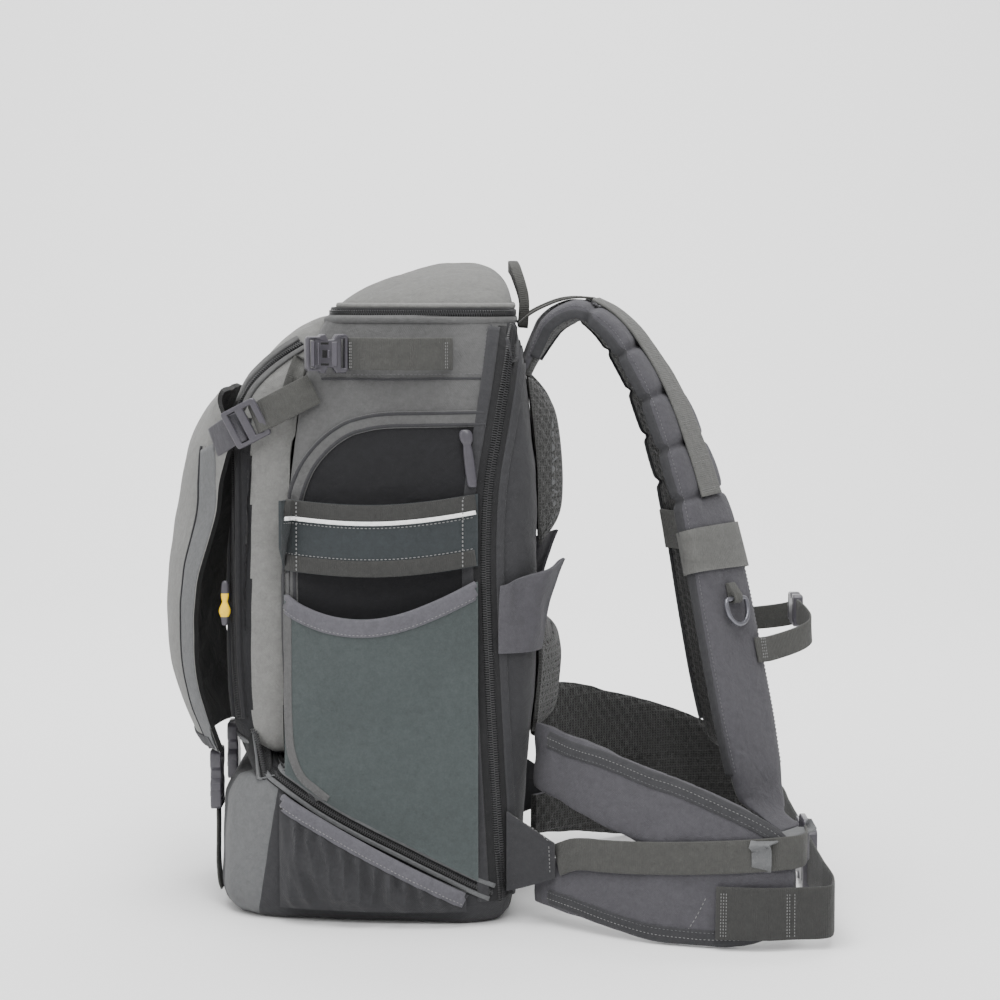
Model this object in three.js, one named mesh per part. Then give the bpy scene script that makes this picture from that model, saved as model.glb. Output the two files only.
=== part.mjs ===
// A camera backpack that stands on its base: a padded body with a zipped top cover, a front pocket behind a
// strapped flap, side pockets with a band and a strap above them, and a harness of shoulder straps, sternum
// strap and hip belt, both closed. Millimetres. +X points to the wearer, +Y to the wearer's left, +Z up, and
// the origin is the middle of the base. The right half is drawn, and the left half is its mirror image.
import * as THREE from "three";
import { mergeVertices } from "three/addons/utils/BufferGeometryUtils.js";

// The body
const RIM_HEIGHT = 478; // base to the top zip
const CROWN = 40; // rise of the top cover above that zip
const FRONT_REACH = 131; // origin to the foremost point of the base compartment
const BACK_REACH = 125; // origin to the back panel
const HALF_WIDTH = 158; // mid-plane to the widest point of a side
const FRONT_TAPER = 0.88; // width at the front as a share of the width at the back
const WALL = 7; // foam between two fabrics
const BACK_ROUND = 32; // radius of the upright corners at the back
const COVER_WALL = 5; // the top cover's thickness
const GAP = 0.35; // between pieces that meet face to face
const SEAT = 0.8; // between cloth and what it lies on
const CORNER_CUTS = [0, 30, 60, 90]; // degrees at which a round corner of a plan is cut

// The front
const POCKET_DEPTH = 48; // the front pocket's depth
const POCKET_ROUND = 30; // radius of its front corners
const POCKET_WALL = 4;
const FLAP_REACH = 181; // origin to the flap's foremost point
const FLAP_WALL = 4;

// Sheets and webbing
const SHEET = 2.5; // stretch fabric of the side pockets
const BAND_SHEET = 2; // elastic band above the side pocket
const POCKET_BULGE = 16; // how far the side pocket's mouth stands open
const BAND_BULGE = 14; // how far the elastic band bows out
const BASE_BULGE = 11; // fullness of the gathered pocket
const MOUTH_STAND = 20; // how far the corner pocket's mouth stands open
const WEB = 25; // width of the straps' webbing
const WEB_SHEET = 1.8; // its thickness
const SIDE_BOW = 20; // how far the side strap bows out
const NARROW_WEB = 20; // sternum strap
const HANDLE = { width: 10, thick: 8 }; // grab handle's folded band
const WIDE_WEB = 40; // hip belt
const HIP_SHEET = 2.4; // its thickness

// The harness
const STRAP_REACH = 176; // back panel to the lower end of a shoulder strap
const STRAP_SPREAD = 135; // mid-plane to that end
const STRAP_WIDTH = 66;
const STRAP_THICK = 17;
const DAISY_WIDTH = 30; // webbing along the outside of a shoulder strap
const SLEEVE_SHEET = 1.6;
const WING_REACH = 193; // back panel to the tip of a hip wing
const WING_SPREAD = 211; // mid-plane to a hip wing's widest point
const WING_HEIGHT = 156; // floor to the wing's upper edge at the lumbar pad
const WING_THICK = 14;
const WING_LEAN = 17; // how much further out its lower edge stands
const WING_CLEAR = 0.5; // the wing's lowest point above the floor
const BELT_REACH = 351; // origin to the closed hip belt in front of the wearer
const BELT_HEIGHT = 28; // floor to the middle of that belt
const PAD_THICK = 21; // back pads
const LUMBAR_THICK = 20;

// Hardware
const RING_WIDTH = 26; // the D-ring's straight bar between the wire's centres
const RING_LEG = 8;
const RING_WIRE = 2; // wire radius
const RING_PLAY = 0.5; // clearance of the bar in its tab
const RING_SIDES = 6;
const SIDE_BUCKLE = { length: 34, width: 30, thick: 7 };
const BASE_BUCKLE = { length: 48, width: 32, thick: 9 };
const STERNUM_BUCKLE = { length: 44, width: 26, thick: 8 };
const HIP_BUCKLE = { length: 72, width: 49, thick: 12 };
const LOCK = { length: 30, width: 32, thick: 5 };

const FABRIC_LIGHT = cloth(0x8d8d8b);
const FABRIC_DARK = cloth(0x5f5f62);
const FABRIC_STRETCH = cloth(0x666d6d);
const MESH_BLACK = cloth(0x2c2c2c);
const WEBBING = cloth(0x5a5a59);
const PLASTIC = new THREE.MeshStandardMaterial({ color: 0x55555a, roughness: 0.45, metalness: 0 });
const PLASTIC_YELLOW = new THREE.MeshStandardMaterial({ color: 0xf2c81e, roughness: 0.5, metalness: 0 });
const STEEL = new THREE.MeshStandardMaterial({ color: 0x6f6f73, roughness: 0.35, metalness: 0.6 });

function cloth(color) {
  return new THREE.MeshStandardMaterial({ color, roughness: 0.9, metalness: 0 });
}

const mix = THREE.MathUtils.lerp;
const vec = (x, y, z) => new THREE.Vector3(x, y, z);
const radians = THREE.MathUtils.degToRad;

// A value of a table's column at a place between its rows, by the column that orders them.
function lookUp(table, key, at, column) {
  const next = table.findIndex((row) => row[key] >= at);
  if (next === -1) return table[table.length - 1][column];
  if (next === 0) return table[0][column];
  const [a, b] = [table[next - 1], table[next]];
  return mix(a[column], b[column], (at - a[key]) / (b[key] - a[key]));
}

// Geometry from corner points and faces, turned so that its faces point out.
function solid(points, faces) {
  let volume = 0;
  for (const [a, b, c] of faces)
    volume += points[a].dot(vec(0, 0, 0).crossVectors(points[b], points[c]));
  const index = faces.flatMap(([a, b, c]) => (volume < 0 ? [a, c, b] : [a, b, c]));
  return new THREE.BufferGeometry().setFromPoints(points).setIndex(index);
}

// A solid through rings of equally many points, with flat ends, or closed on itself.
function loft(rings, closed = false) {
  const count = rings[0].length;
  const points = rings.flat();
  const faces = [];
  const last = closed ? rings.length : rings.length - 1;
  for (let r = 0; r < last; r++)
    for (let i = 0; i < count; i++) {
      const [a, b] = [r * count + i, r * count + ((i + 1) % count)];
      const next = ((r + 1) % rings.length) * count;
      const [c, d] = [next + ((i + 1) % count), next + i];
      faces.push([a, b, c], [a, c, d]);
    }
  if (!closed)
    for (const [ring, turned] of [[0, true], [rings.length - 1, false]]) {
      const middle = points.length;
      points.push(rings[ring].reduce((sum, p) => sum.add(p), vec(0, 0, 0)).divideScalar(count));
      for (let i = 0; i < count; i++) {
        const [a, b] = [ring * count + i, ring * count + ((i + 1) % count)];
        faces.push(turned ? [middle, b, a] : [middle, a, b]);
      }
    }
  return solid(points, faces);
}

// A solid between two grids of points of the same size, without the cells that are left out.
function slab(outer, inner, leftOut = () => false) {
  const [rows, columns] = [outer.length, outer[0].length];
  const points = [...outer.flat(), ...inner.flat()];
  const under = rows * columns;
  const at = (i, j) => i * columns + j;
  const faces = [];
  const rims = new Map();
  const rim = (a, b) => {
    if (!rims.delete(b + " " + a)) rims.set(a + " " + b, [a, b]);
  };
  for (let i = 0; i < rows - 1; i++)
    for (let j = 0; j < columns - 1; j++) {
      if (leftOut(i, j)) continue;
      const cell = [at(i, j), at(i, j + 1), at(i + 1, j + 1), at(i + 1, j)];
      const [a, b, c, d] = cell;
      faces.push([a, b, c], [a, c, d]);
      faces.push([a + under, c + under, b + under], [a + under, d + under, c + under]);
      cell.forEach((from, k) => rim(from, cell[(k + 1) % 4]));
    }
  for (const [a, b] of rims.values())
    faces.push([b, a, a + under], [b, a + under, b + under]);
  const used = [...new Set(faces.flat())];
  const place = new Map(used.map((old, now) => [old, now]));
  return solid(used.map((old) => points[old]), faces.map((face) => face.map((p) => place.get(p))));
}

// The unit normal of a grid of points at one of them.
function gridNormal(grid, i, j) {
  const row = (n) => grid[THREE.MathUtils.clamp(n, 0, grid.length - 1)];
  const column = (n) => THREE.MathUtils.clamp(n, 0, grid[0].length - 1);
  const down = row(i + 1)[j].clone().sub(row(i - 1)[j]);
  const across = grid[i][column(j + 1)].clone().sub(grid[i][column(j - 1)]);
  return down.cross(across).normalize();
}

// A sheet of cloth whose visible face is the grid. hidden points from that face into the cloth.
function sheet(grid, thick, hidden, leftOut, settle = (p) => p) {
  const inner = grid.map((row, i) =>
    row.map((p, j) => {
      const n = gridNormal(grid, i, j);
      if (n.dot(hidden(p)) < 0) n.negate();
      return settle(p.clone().addScaledVector(n, thick));
    }),
  );
  return slab(grid, inner, leftOut);
}

function grid(rows, columns, place) {
  return Array.from({ length: rows + 1 }, (_, i) =>
    Array.from({ length: columns + 1 }, (_, j) => place(i / rows, j / columns)),
  );
}

// Webbing along a route of points. across is the direction of its width, and out its visible side.
function webbing(route, width, across, out, thick = WEB_SHEET) {
  const rows = route.map((p, i) => {
    const ahead = route[Math.min(i + 1, route.length - 1)].clone();
    const along = ahead.sub(route[Math.max(i - 1, 0)]).normalize();
    const wide = (typeof across === "function" ? across(i) : across.clone()).normalize();
    wide.addScaledVector(along, -wide.dot(along)).normalize();
    const normal = wide.clone().cross(along).normalize();
    if (normal.dot(typeof out === "function" ? out(i) : out) < 0) normal.negate();
    const edge = (side) => p.clone().addScaledVector(wide, (side * width) / 2);
    return [-1, 1].map((side) => [edge(side), edge(side).addScaledVector(normal, -thick)]);
  });
  return slab(rows.map((r) => r.map(([face]) => face)), rows.map((r) => r.map(([, back]) => back)));
}

// The body's plan at one height: back, right side, front, left side.
function planRing(z, front, back, wide, frontRound, backRound) {
  const most = 0.45 * (front + back);
  const corner = Math.max(1, Math.min(frontRound, most, wide * FRONT_TAPER * 0.9));
  const rear = Math.max(1, Math.min(backRound, most, wide * 0.9));
  const narrow = wide * FRONT_TAPER;
  const arc = (x, y, r, from) =>
    CORNER_CUTS.map((step) => {
      const a = radians(from - step);
      return vec(x + r * Math.cos(a), y + r * Math.sin(a), z);
    });
  const right = [
    ...arc(back - rear, rear - wide, rear, 0),
    vec((back - rear + corner - front) / 2, -(wide + narrow) / 2 - wide * 0.012, z),
    ...arc(corner - front, corner - narrow, corner, -90),
  ];
  const left = right.map((p) => vec(p.x, -p.y, p.z)).reverse();
  return [vec(back, 0, z), ...right, vec(-front, 0, z), ...left];
}

// The main body by height: shares of RIM_HEIGHT, FRONT_REACH, BACK_REACH and HALF_WIDTH.
// step marks the shelf over the base compartment, where the inside lies one wall lower.
const BODY_LEVELS = [
  { up: 0, front: 0.9, back: 0.78, wide: 0.9, round: 0.3, step: 0 },
  { up: 0.014, front: 0.965, back: 0.83, wide: 0.945, round: 0.32, step: 0 },
  { up: 0.044, front: 1, back: 0.86, wide: 0.975, round: 0.34, step: 0 },
  { up: 0.115, front: 0.995, back: 0.9, wide: 0.99, round: 0.36, step: 0 },
  { up: 0.2, front: 0.975, back: 0.92, wide: 0.99, round: 0.36, step: 0 },
  { up: 0.234, front: 0.9, back: 0.93, wide: 0.99, round: 0.34, step: 1 },
  { up: 0.259, front: 0.58, back: 0.94, wide: 0.99, round: 0.055, step: 1 },
  { up: 0.419, front: 0.58, back: 1, wide: 1, round: 0.055, step: 0 },
  { up: 0.586, front: 0.57, back: 1, wide: 1, round: 0.055, step: 0 },
  { up: 0.753, front: 0.53, back: 0.99, wide: 0.99, round: 0.055, step: 0 },
  { up: 0.879, front: 0.47, back: 0.94, wide: 0.96, round: 0.055, step: 0 },
  { up: 0.952, front: 0.4, back: 0.89, wide: 0.92, round: 0.055, step: 0 },
  { up: 1, front: 0.31, back: 0.85, wide: 0.87, round: 0.055, step: 0 },
];

function bodyRing(level, wall) {
  const z = wall ? Math.max(level.up * RIM_HEIGHT - level.step * wall, wall) : level.up * RIM_HEIGHT;
  return planRing(
    z,
    level.front * FRONT_REACH - wall,
    level.back * BACK_REACH - wall,
    level.wide * HALF_WIDTH - wall,
    level.round * HALF_WIDTH - wall,
    BACK_ROUND - wall,
  );
}

// The shell between two of those heights: a tub with a floor from the ground up, or else a wall all round.
const SEAM = 0.2; // where the tub of the base compartment meets the walls above it
function shell(from, to) {
  const levels = BODY_LEVELS.filter(({ up }) => up >= from && up <= to);
  const outer = levels.map((level) => bodyRing(level, 0));
  const hollow = levels.filter(({ up }) => up === 0 || up * RIM_HEIGHT > 2 * WALL);
  const inner = hollow.map((level) => bodyRing(level, WALL));
  inner[inner.length - 1].forEach((p) => p.setZ(to * RIM_HEIGHT));
  if (from > 0)
    [...outer[0], ...inner[0]].forEach((p) => p.setZ(from * RIM_HEIGHT + GAP));
  return loft([...outer, ...inner.reverse()], from > 0);
}

const bodyFront = (z) => FRONT_REACH * lookUp(BODY_LEVELS, "up", z / RIM_HEIGHT, "front");
const bodyBack = (z) => BACK_REACH * lookUp(BODY_LEVELS, "up", z / RIM_HEIGHT, "back");
const bodyWide = (z) => HALF_WIDTH * lookUp(BODY_LEVELS, "up", z / RIM_HEIGHT, "wide");

// The top cover by height above the rim: shares of CROWN and of the body's reaches.
const COVER_LEVELS = [
  { rise: 0, front: 0.31, back: 0.85, wide: 0.87 },
  { rise: 0.3, front: 0.22, back: 0.84, wide: 0.82 },
  { rise: 0.62, front: 0.03, back: 0.8, wide: 0.7 },
  { rise: 0.88, front: -0.16, back: 0.72, wide: 0.5 },
  { rise: 1, front: -0.34, back: 0.6, wide: 0.26 },
];

function topCover() {
  const ring = (level, wall) =>
    planRing(
      RIM_HEIGHT + GAP + Math.max(0, level.rise * CROWN - (level.rise ? wall : 0)),
      level.front * FRONT_REACH - wall,
      level.back * BACK_REACH - wall,
      level.wide * HALF_WIDTH - wall,
      BACK_ROUND - wall,
      BACK_ROUND - wall,
    );
  const outer = COVER_LEVELS.map((level) => ring(level, 0));
  const inner = COVER_LEVELS.slice(0, -1).map((level) => ring(level, COVER_WALL));
  return loft([...outer.reverse(), ...inner]);
}

// The front pocket by height: shares of RIM_HEIGHT, POCKET_DEPTH and HALF_WIDTH.
const POCKET_LEVELS = [
  { up: 0.266, deep: 0.09, wide: 0.6 },
  { up: 0.27, deep: 0.5, wide: 0.68 },
  { up: 0.285, deep: 0.8, wide: 0.735 },
  { up: 0.33, deep: 0.94, wide: 0.765 },
  { up: 0.419, deep: 0.96, wide: 0.775 },
  { up: 0.586, deep: 0.96, wide: 0.775 },
  { up: 0.753, deep: 1, wide: 0.76 },
  { up: 0.835, deep: 1.08, wide: 0.725 },
  { up: 0.879, deep: 1, wide: 0.69 },
  { up: 0.915, deep: 0.82, wide: 0.66 },
  { up: 0.952, deep: 0.6, wide: 0.62 },
  { up: 0.982, deep: 0.36, wide: 0.575 },
  { up: 0.994, deep: 0.09, wide: 0.55 },
];

function frontPocket() {
  const rows = POCKET_LEVELS.map(({ up, deep, wide }) => {
    const z = up * RIM_HEIGHT;
    const root = bodyFront(z) + GAP;
    const [depth, half] = [deep * POCKET_DEPTH, wide * HALF_WIDTH];
    const r = Math.min(POCKET_ROUND, depth * 0.8);
    const right = [
      vec(-root, -half, z),
      vec(-root - (depth - r) / 2, -half, z),
      ...CORNER_CUTS.map((step) => {
        const a = radians(-90 - step);
        return vec(-root - depth + r + r * Math.cos(a), r - half + r * Math.sin(a), z);
      }),
      vec(-root - depth * 1.02, -half * 0.4, z),
    ];
    return [...right, ...right.map((p) => vec(p.x, -p.y, p.z)).reverse()];
  });
  const keepOff = (p) => p.setX(Math.min(p.x, -bodyFront(p.z) - GAP - 1));
  const inward = (p) => vec(-bodyFront(p.z) - p.x, -p.y * 0.4, 0.45 * RIM_HEIGHT - p.z);
  return sheet(rows, POCKET_WALL, inward, undefined, keepOff);
}

// The flap by height: shares of RIM_HEIGHT, FLAP_REACH at its middle and at its edge, and HALF_WIDTH.
const FLAP_LEVELS = [
  { up: 0.874, middle: 0.72, edge: 0.71, wide: 0.52 },
  { up: 0.85, middle: 0.79, edge: 0.73, wide: 0.6 },
  { up: 0.803, middle: 0.866, edge: 0.628, wide: 0.775 },
  { up: 0.745, middle: 0.925, edge: 0.7, wide: 0.69 },
  { up: 0.68, middle: 0.955, edge: 0.715, wide: 0.71 },
  { up: 0.6, middle: 0.985, edge: 0.77, wide: 0.72 },
  { up: 0.5, middle: 1, edge: 0.83, wide: 0.72 },
  { up: 0.416, middle: 0.985, edge: 0.815, wide: 0.715 },
  { up: 0.35, middle: 0.945, edge: 0.775, wide: 0.7 },
  { up: 0.3, middle: 0.89, edge: 0.74, wide: 0.67 },
  { up: 0.268, middle: 0.83, edge: 0.715, wide: 0.62 },
];

function frontFlap() {
  const shares = [-1, -0.86, -0.62, -0.32, 0, 0.32, 0.62, 0.86, 1];
  const rows = FLAP_LEVELS.map(({ up, middle, edge, wide }) =>
    shares.map((s) => {
      const reach = FLAP_REACH * mix(middle, edge, Math.abs(s) ** 2.4);
      return vec(-reach, s * wide * HALF_WIDTH, up * RIM_HEIGHT);
    }),
  );
  return sheet(rows, FLAP_WALL, () => vec(1, 0, 0));
}

// The body's right side, met by a ray along +Y, and how far out it lies.
const wholeShell = new THREE.Mesh(shell(0, 1), FABRIC_DARK);
const ray = new THREE.Raycaster();
function sideAt(x, z) {
  ray.set(vec(x, -10 * HALF_WIDTH, z), vec(0, 1, 0));
  const [hit] = ray.intersectObject(wholeShell);
  return hit ? -hit.point.y : bodyWide(z);
}
function sideNormal(x, z) {
  const [here, ahead, above] = [[x, z], [x + 4, z], [x, z + 4]].map(([u, w]) => onSide(u, w));
  return ahead.sub(here).cross(above.sub(here)).normalize();
}
const onSide = (x, z, proud = 0) => vec(x, -sideAt(x, z) - SEAT - proud, z);

// Shares along a side sheet: close together where the body's front corner turns.
const SIDE_SHARES = [0, 0.022, 0.045, 0.07, 0.15, 0.27, 0.4, 0.53, 0.66, 0.79, 0.9, 1];
function sideGrid(heights, place) {
  return heights.map((v) => SIDE_SHARES.map((s) => place(v, s)));
}
const evenly = (count) => Array.from({ length: count + 1 }, (_, i) => i / count);

// Where the side's features lie: shares of the reaches and of RIM_HEIGHT.
const POCKET_FRONT = 0.565;
const POCKET_BACK = 0.624;
const sideX = (share) => mix(-POCKET_FRONT * FRONT_REACH, POCKET_BACK * BACK_REACH, share);
const swell = (share) => Math.max(0, Math.sin(Math.PI * share)) ** 0.7;
const towardsBody = () => vec(0, 1, 0);

function sidePocket() {
  const hem = (s) => RIM_HEIGHT * (mix(0.543, 0.569, s) - 0.047 * Math.sin(Math.PI * s ** 0.85));
  const turn = 0.24; // where the foot leaves the shelf and follows the base's zip
  const foot = (s) =>
    RIM_HEIGHT * (s < turn ? mix(0.247, 0.196, s / turn) : mix(0.196, 0.078, (s - turn) / (1 - turn)));
  const rows = sideGrid(evenly(7), (v, s) => {
    const [x, z] = [sideX(s), mix(foot(s), hem(s), v)];
    return onSide(x, z, SHEET + 0.6 + POCKET_BULGE * swell(s) * v ** 0.8);
  });
  return sheet(rows, SHEET, towardsBody, undefined, keepOffSide);
}

function keepOffSide(p) {
  return p.setY(Math.min(p.y, onSide(p.x, p.z).y));
}

function sideBand() {
  const rows = sideGrid(evenly(3), (v, s) => {
    const middle = RIM_HEIGHT * (mix(0.642, 0.653, s) - 0.012 * Math.sin(Math.PI * s));
    const z = middle + RIM_HEIGHT * 0.0585 * (2 * v - 1);
    return onSide(sideX(s), z, BAND_SHEET + BAND_BULGE * swell(s));
  });
  return sheet(rows, BAND_SHEET, towardsBody, undefined, keepOffSide);
}

function basePocket() {
  const x = (s) => mix(-0.6 * FRONT_REACH, 0.55 * BACK_REACH, s);
  const hem = (s) => RIM_HEIGHT * mix(0.214, 0.058, s ** 0.95);
  const full = (v) => 0.35 + 0.65 * Math.sin(Math.PI * (v * 0.62 + 0.17));
  const rows = sideGrid([0, 0.1, 0.22, 0.45, 0.72, 1], (v, s) => {
    const z = mix(RIM_HEIGHT * 0.024, hem(s), v);
    return onSide(x(s), z, SHEET + 0.5 + BASE_BULGE * swell(s) * full(v));
  });
  return sheet(rows, SHEET, towardsBody, undefined, keepOffSide);
}

function cornerPocket() {
  const rows = grid(5, 6, (v, s) => {
    const z = RIM_HEIGHT * mix(0.452, mix(0.562, 0.6, s), v);
    const a = radians(mix(-88, -4, s));
    const stand = SEAT + SHEET + MOUTH_STAND * v ** 1.6 * s ** 1.4;
    const r = BACK_ROUND + stand;
    const x = bodyBack(z) - BACK_ROUND + r * Math.cos(a);
    return vec(x, BACK_ROUND - bodyWide(z) + r * Math.sin(a), z);
  });
  const toCorner = (p) => vec(bodyBack(p.z) - BACK_ROUND - p.x, BACK_ROUND - bodyWide(p.z) - p.y, 0);
  return sheet(rows, SHEET, toCorner);
}

// A domed pad on the back panel. foot, top and the two sides are shares of RIM_HEIGHT and HALF_WIDTH.
function backPad({ foot, top, inner, outer, thick, square }) {
  const dome = (s) => Math.max(0, 1 - Math.abs(2 * s - 1) ** square) ** 0.5;
  const [rows, columns] = [7, 6];
  const flat = grid(rows, columns, (v, s) => {
    const z = RIM_HEIGHT * mix(foot, top, v);
    const corner = 1 - 0.16 * Math.abs(2 * v - 1) ** 4;
    const y = HALF_WIDTH * mix((inner + outer) / 2, mix(inner, outer, s), corner);
    return vec(bodyBack(z) + SEAT, -y, z);
  });
  const outerFace = flat.map((row, i) =>
    row.map((p, j) => p.clone().setX(p.x + 3 + (thick - 3) * dome(i / rows) * dome(j / columns))),
  );
  return slab(outerFace, flat);
}

// The side strap: sewn to the side behind, bowed out, and closed by its buckle in front.
const SIDE_STRAP = { from: 0.47, to: -0.175, up: 0.937 };
function sideStrap() {
  const z = RIM_HEIGHT * SIDE_STRAP.up;
  const flat = SIDE_BUCKLE.thick / 2 + 1.5;
  const route = evenly(10).map((s) => {
    const x = mix(SIDE_STRAP.from * BACK_REACH, SIDE_STRAP.to * FRONT_REACH, s);
    return onSide(x, z, mix(WEB_SHEET + 1.2, flat + 1, s ** 3) + SIDE_BOW * swell(s));
  });
  const end = route[route.length - 1];
  const forward = onSide(end.x - SIDE_BUCKLE.length, z, flat).sub(onSide(end.x, z, flat)).normalize();
  const start = onSide(end.x - GAP - 0.5, z, flat);
  return {
    strap: webbing(route, WEB, vec(0, 0, 1), vec(0, -1, 0)),
    buckle: placed(wholeBuckle(SIDE_BUCKLE), start, forward, vec(0, 0, 1)),
  };
}

// A shoulder strap's stations: shares of STRAP_REACH beyond the back panel, of RIM_HEIGHT and of
// STRAP_SPREAD, the turn of its width from +Y to +X in degrees, and shares of its width and thickness.
const STRAP_STATIONS = [
  { out: -0.03, up: 0.92, spread: 0.49, turn: 4, wide: 0.95, thick: 0.6 },
  { out: 0.022, up: 0.956, spread: 0.49, turn: 7, wide: 0.97, thick: 0.75 },
  { out: 0.085, up: 0.988, spread: 0.5, turn: 11, wide: 1, thick: 0.9 },
  { out: 0.216, up: 1.006, spread: 0.52, turn: 16, wide: 1, thick: 1 },
  { out: 0.366, up: 0.974, spread: 0.555, turn: 20, wide: 1, thick: 1 },
  { out: 0.478, up: 0.92, spread: 0.585, turn: 23, wide: 1, thick: 1 },
  { out: 0.562, up: 0.868, spread: 0.62, turn: 27, wide: 1, thick: 1 },
  { out: 0.664, up: 0.776, spread: 0.665, turn: 32, wide: 1, thick: 1 },
  { out: 0.758, up: 0.667, spread: 0.71, turn: 37, wide: 1, thick: 1 },
  { out: 0.818, up: 0.565, spread: 0.77, turn: 42, wide: 1, thick: 1 },
  { out: 0.875, up: 0.45, spread: 0.84, turn: 44, wide: 1, thick: 1 },
  { out: 0.932, up: 0.335, spread: 0.92, turn: 46, wide: 0.96, thick: 1 },
  { out: 0.972, up: 0.255, spread: 0.965, turn: 46, wide: 0.9, thick: 0.9 },
  { out: 1, up: 0.205, spread: 1, turn: 46, wide: 0.78, thick: 0.6 },
  { out: 1.045, up: 0.182, spread: 1.085, turn: 46, wide: 0.38, thick: 0.16 },
  { out: 1.125, up: 0.165, spread: 1.2, turn: 60, wide: 0.36, thick: 0.14 },
];
const STRAP_END = STRAP_STATIONS.length - 1;
const strapLine = new THREE.CatmullRomCurve3(
  STRAP_STATIONS.map(({ out, up, spread }) =>
    vec(BACK_REACH + out * STRAP_REACH, -spread * STRAP_SPREAD, up * RIM_HEIGHT),
  ),
  false,
  "centripetal",
);

// The strap at a place between stations: its middle, its directions and its size.
function strapAt(station) {
  const low = Math.min(Math.floor(station), STRAP_END - 1);
  const value = (column) =>
    mix(STRAP_STATIONS[low][column], STRAP_STATIONS[low + 1][column], station - low);
  const turn = radians(value("turn"));
  const along = strapLine.getTangent(station / STRAP_END);
  const out = along.clone().cross(vec(Math.sin(turn), Math.cos(turn), 0)).normalize();
  return {
    middle: strapLine.getPoint(station / STRAP_END),
    along,
    out,
    across: out.clone().cross(along).normalize(),
    wide: value("wide") * STRAP_WIDTH,
    thick: value("thick") * STRAP_THICK,
  };
}

// The strap's padded section, grown on all sides by more. Each corner: shares of half the size.
const STRAP_CORNERS = [
  [-1, -0.35], [-0.86, -0.95], [0, -1], [0.86, -0.95], [1, -0.35],
  [0.97, 0.5], [0.8, 1], [-0.8, 1], [-0.97, 0.5],
];
function strapRing(station, more = 0) {
  const { middle, across, out, wide, thick } = strapAt(station);
  return STRAP_CORNERS.map(([w, t]) =>
    middle.clone()
      .addScaledVector(across, w * (wide / 2 + more))
      .addScaledVector(out, t * (thick / 2 + more)),
  );
}

function shoulderStrap() {
  const rings = evenly(26).map((share) => strapRing(share * STRAP_END));
  return loft(rings);
}

// A band around the strap between two stations.
function strapSleeve(from, to) {
  const stations = [from, (from + to) / 2, to];
  const outer = stations.map((s) => strapRing(s, SEAT + 0.4 + SLEEVE_SHEET));
  const inner = stations.map((s) => strapRing(s, SEAT + 0.4)).reverse();
  return loft([...outer, ...inner], true);
}

// A point on the strap's outer face, across and away from it.
function onStrap(station, share = 0, proud = 0) {
  const { middle, across, out, wide, thick } = strapAt(station);
  return middle.clone()
    .addScaledVector(across, (share * wide) / 2)
    .addScaledVector(out, thick / 2 + SEAT + proud);
}

const DAISY = { from: 3.2, to: 7.75 };
function daisyWeb() {
  const count = 12;
  const stations = Array.from({ length: count + 1 }, (_, i) => mix(DAISY.from, DAISY.to, i / count));
  const route = stations.map((s) => onStrap(s, 0, WEB_SHEET + 0.4));
  return webbing(route, DAISY_WIDTH, (i) => strapAt(stations[i]).across, (i) => strapAt(stations[i]).out);
}

// The load lifter runs from the daisy webbing's upper end back to the seam at the body's top edge.
function loadLifter() {
  const start = onStrap(DAISY.from, 0, WEB_SHEET + 0.4);
  const before = start.clone().addScaledVector(strapAt(DAISY.from).along, -GAP - 2.4);
  const z = RIM_HEIGHT * 0.985;
  const end = vec(bodyBack(z) + 1.5, before.y * 0.9, z);
  const crest = vec(mix(end.x, before.x, 0.45), before.y * 0.95, before.z + 5);
  const line = new THREE.QuadraticBezierCurve3(before, crest, end);
  return webbing(line.getPoints(7), WEB, vec(0, 1, 0), vec(0.1, 0, 1));
}

function grabHandle() {
  const foot = vec(bodyBack(RIM_HEIGHT * 0.975) + SEAT + HANDLE.thick, 0, RIM_HEIGHT * 0.975);
  const half = HALF_WIDTH * 0.24;
  const rise = CROWN * 1.25;
  const right = [[0, 1, 0], [1, 0.98, 0.45], [-5, 0.6, 0.88]];
  const place = (sign) => ([x, y, z]) => foot.clone().add(vec(x, sign * y * half, z * rise));
  const line = new THREE.CatmullRomCurve3([
    ...right.map(place(-1)),
    foot.clone().add(vec(-8, 0, rise)),
    ...right.slice().reverse().map(place(1)),
  ]);
  const count = 16;
  const inward = (i) => line.getTangent(i / count).cross(vec(1, 0, 0));
  return webbing(line.getPoints(count), HANDLE.width, inward, vec(1, 0, 0), HANDLE.thick);
}

// The D-ring: a bar, two legs and a half circle, as the wire's centre line from the bar's middle.
function ringLine() {
  const r = RING_WIDTH / 2;
  const bow = Array.from({ length: 9 }, (_, i) => {
    const a = (Math.PI * i) / 8;
    return [r * Math.cos(a), RING_LEG + r * Math.sin(a)];
  });
  return [[r * 0.5, 0], [r * 0.86, 0.25], [r, 1.6], ...bow, [-r, 1.6], [-r * 0.86, 0.25], [-r * 0.5, 0]];
}

function dRing(centre, across, along, out) {
  const line = ringLine().map(([w, t]) =>
    centre.clone().addScaledVector(across, w).addScaledVector(along, t),
  );
  const rings = line.map((p, i) => {
    const before = line[(i + line.length - 1) % line.length];
    const next = line[(i + 1) % line.length];
    const side = next.clone().sub(before).normalize().cross(out).normalize();
    return Array.from({ length: RING_SIDES }, (_, k) => {
      const a = (2 * Math.PI * k) / RING_SIDES;
      return p.clone()
        .addScaledVector(side, RING_WIRE * Math.cos(a))
        .addScaledVector(out, RING_WIRE * Math.sin(a));
    });
  });
  return loft(rings, true);
}

// Puts a flat solid drawn in x, y with its thickness along z into place.
function placed(geometry, origin, x, y) {
  const z = x.clone().cross(y).normalize();
  const basis = new THREE.Matrix4().makeBasis(x.clone().normalize(), z.clone().cross(x).normalize(), z);
  return geometry.applyMatrix4(basis.setPosition(origin));
}

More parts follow.
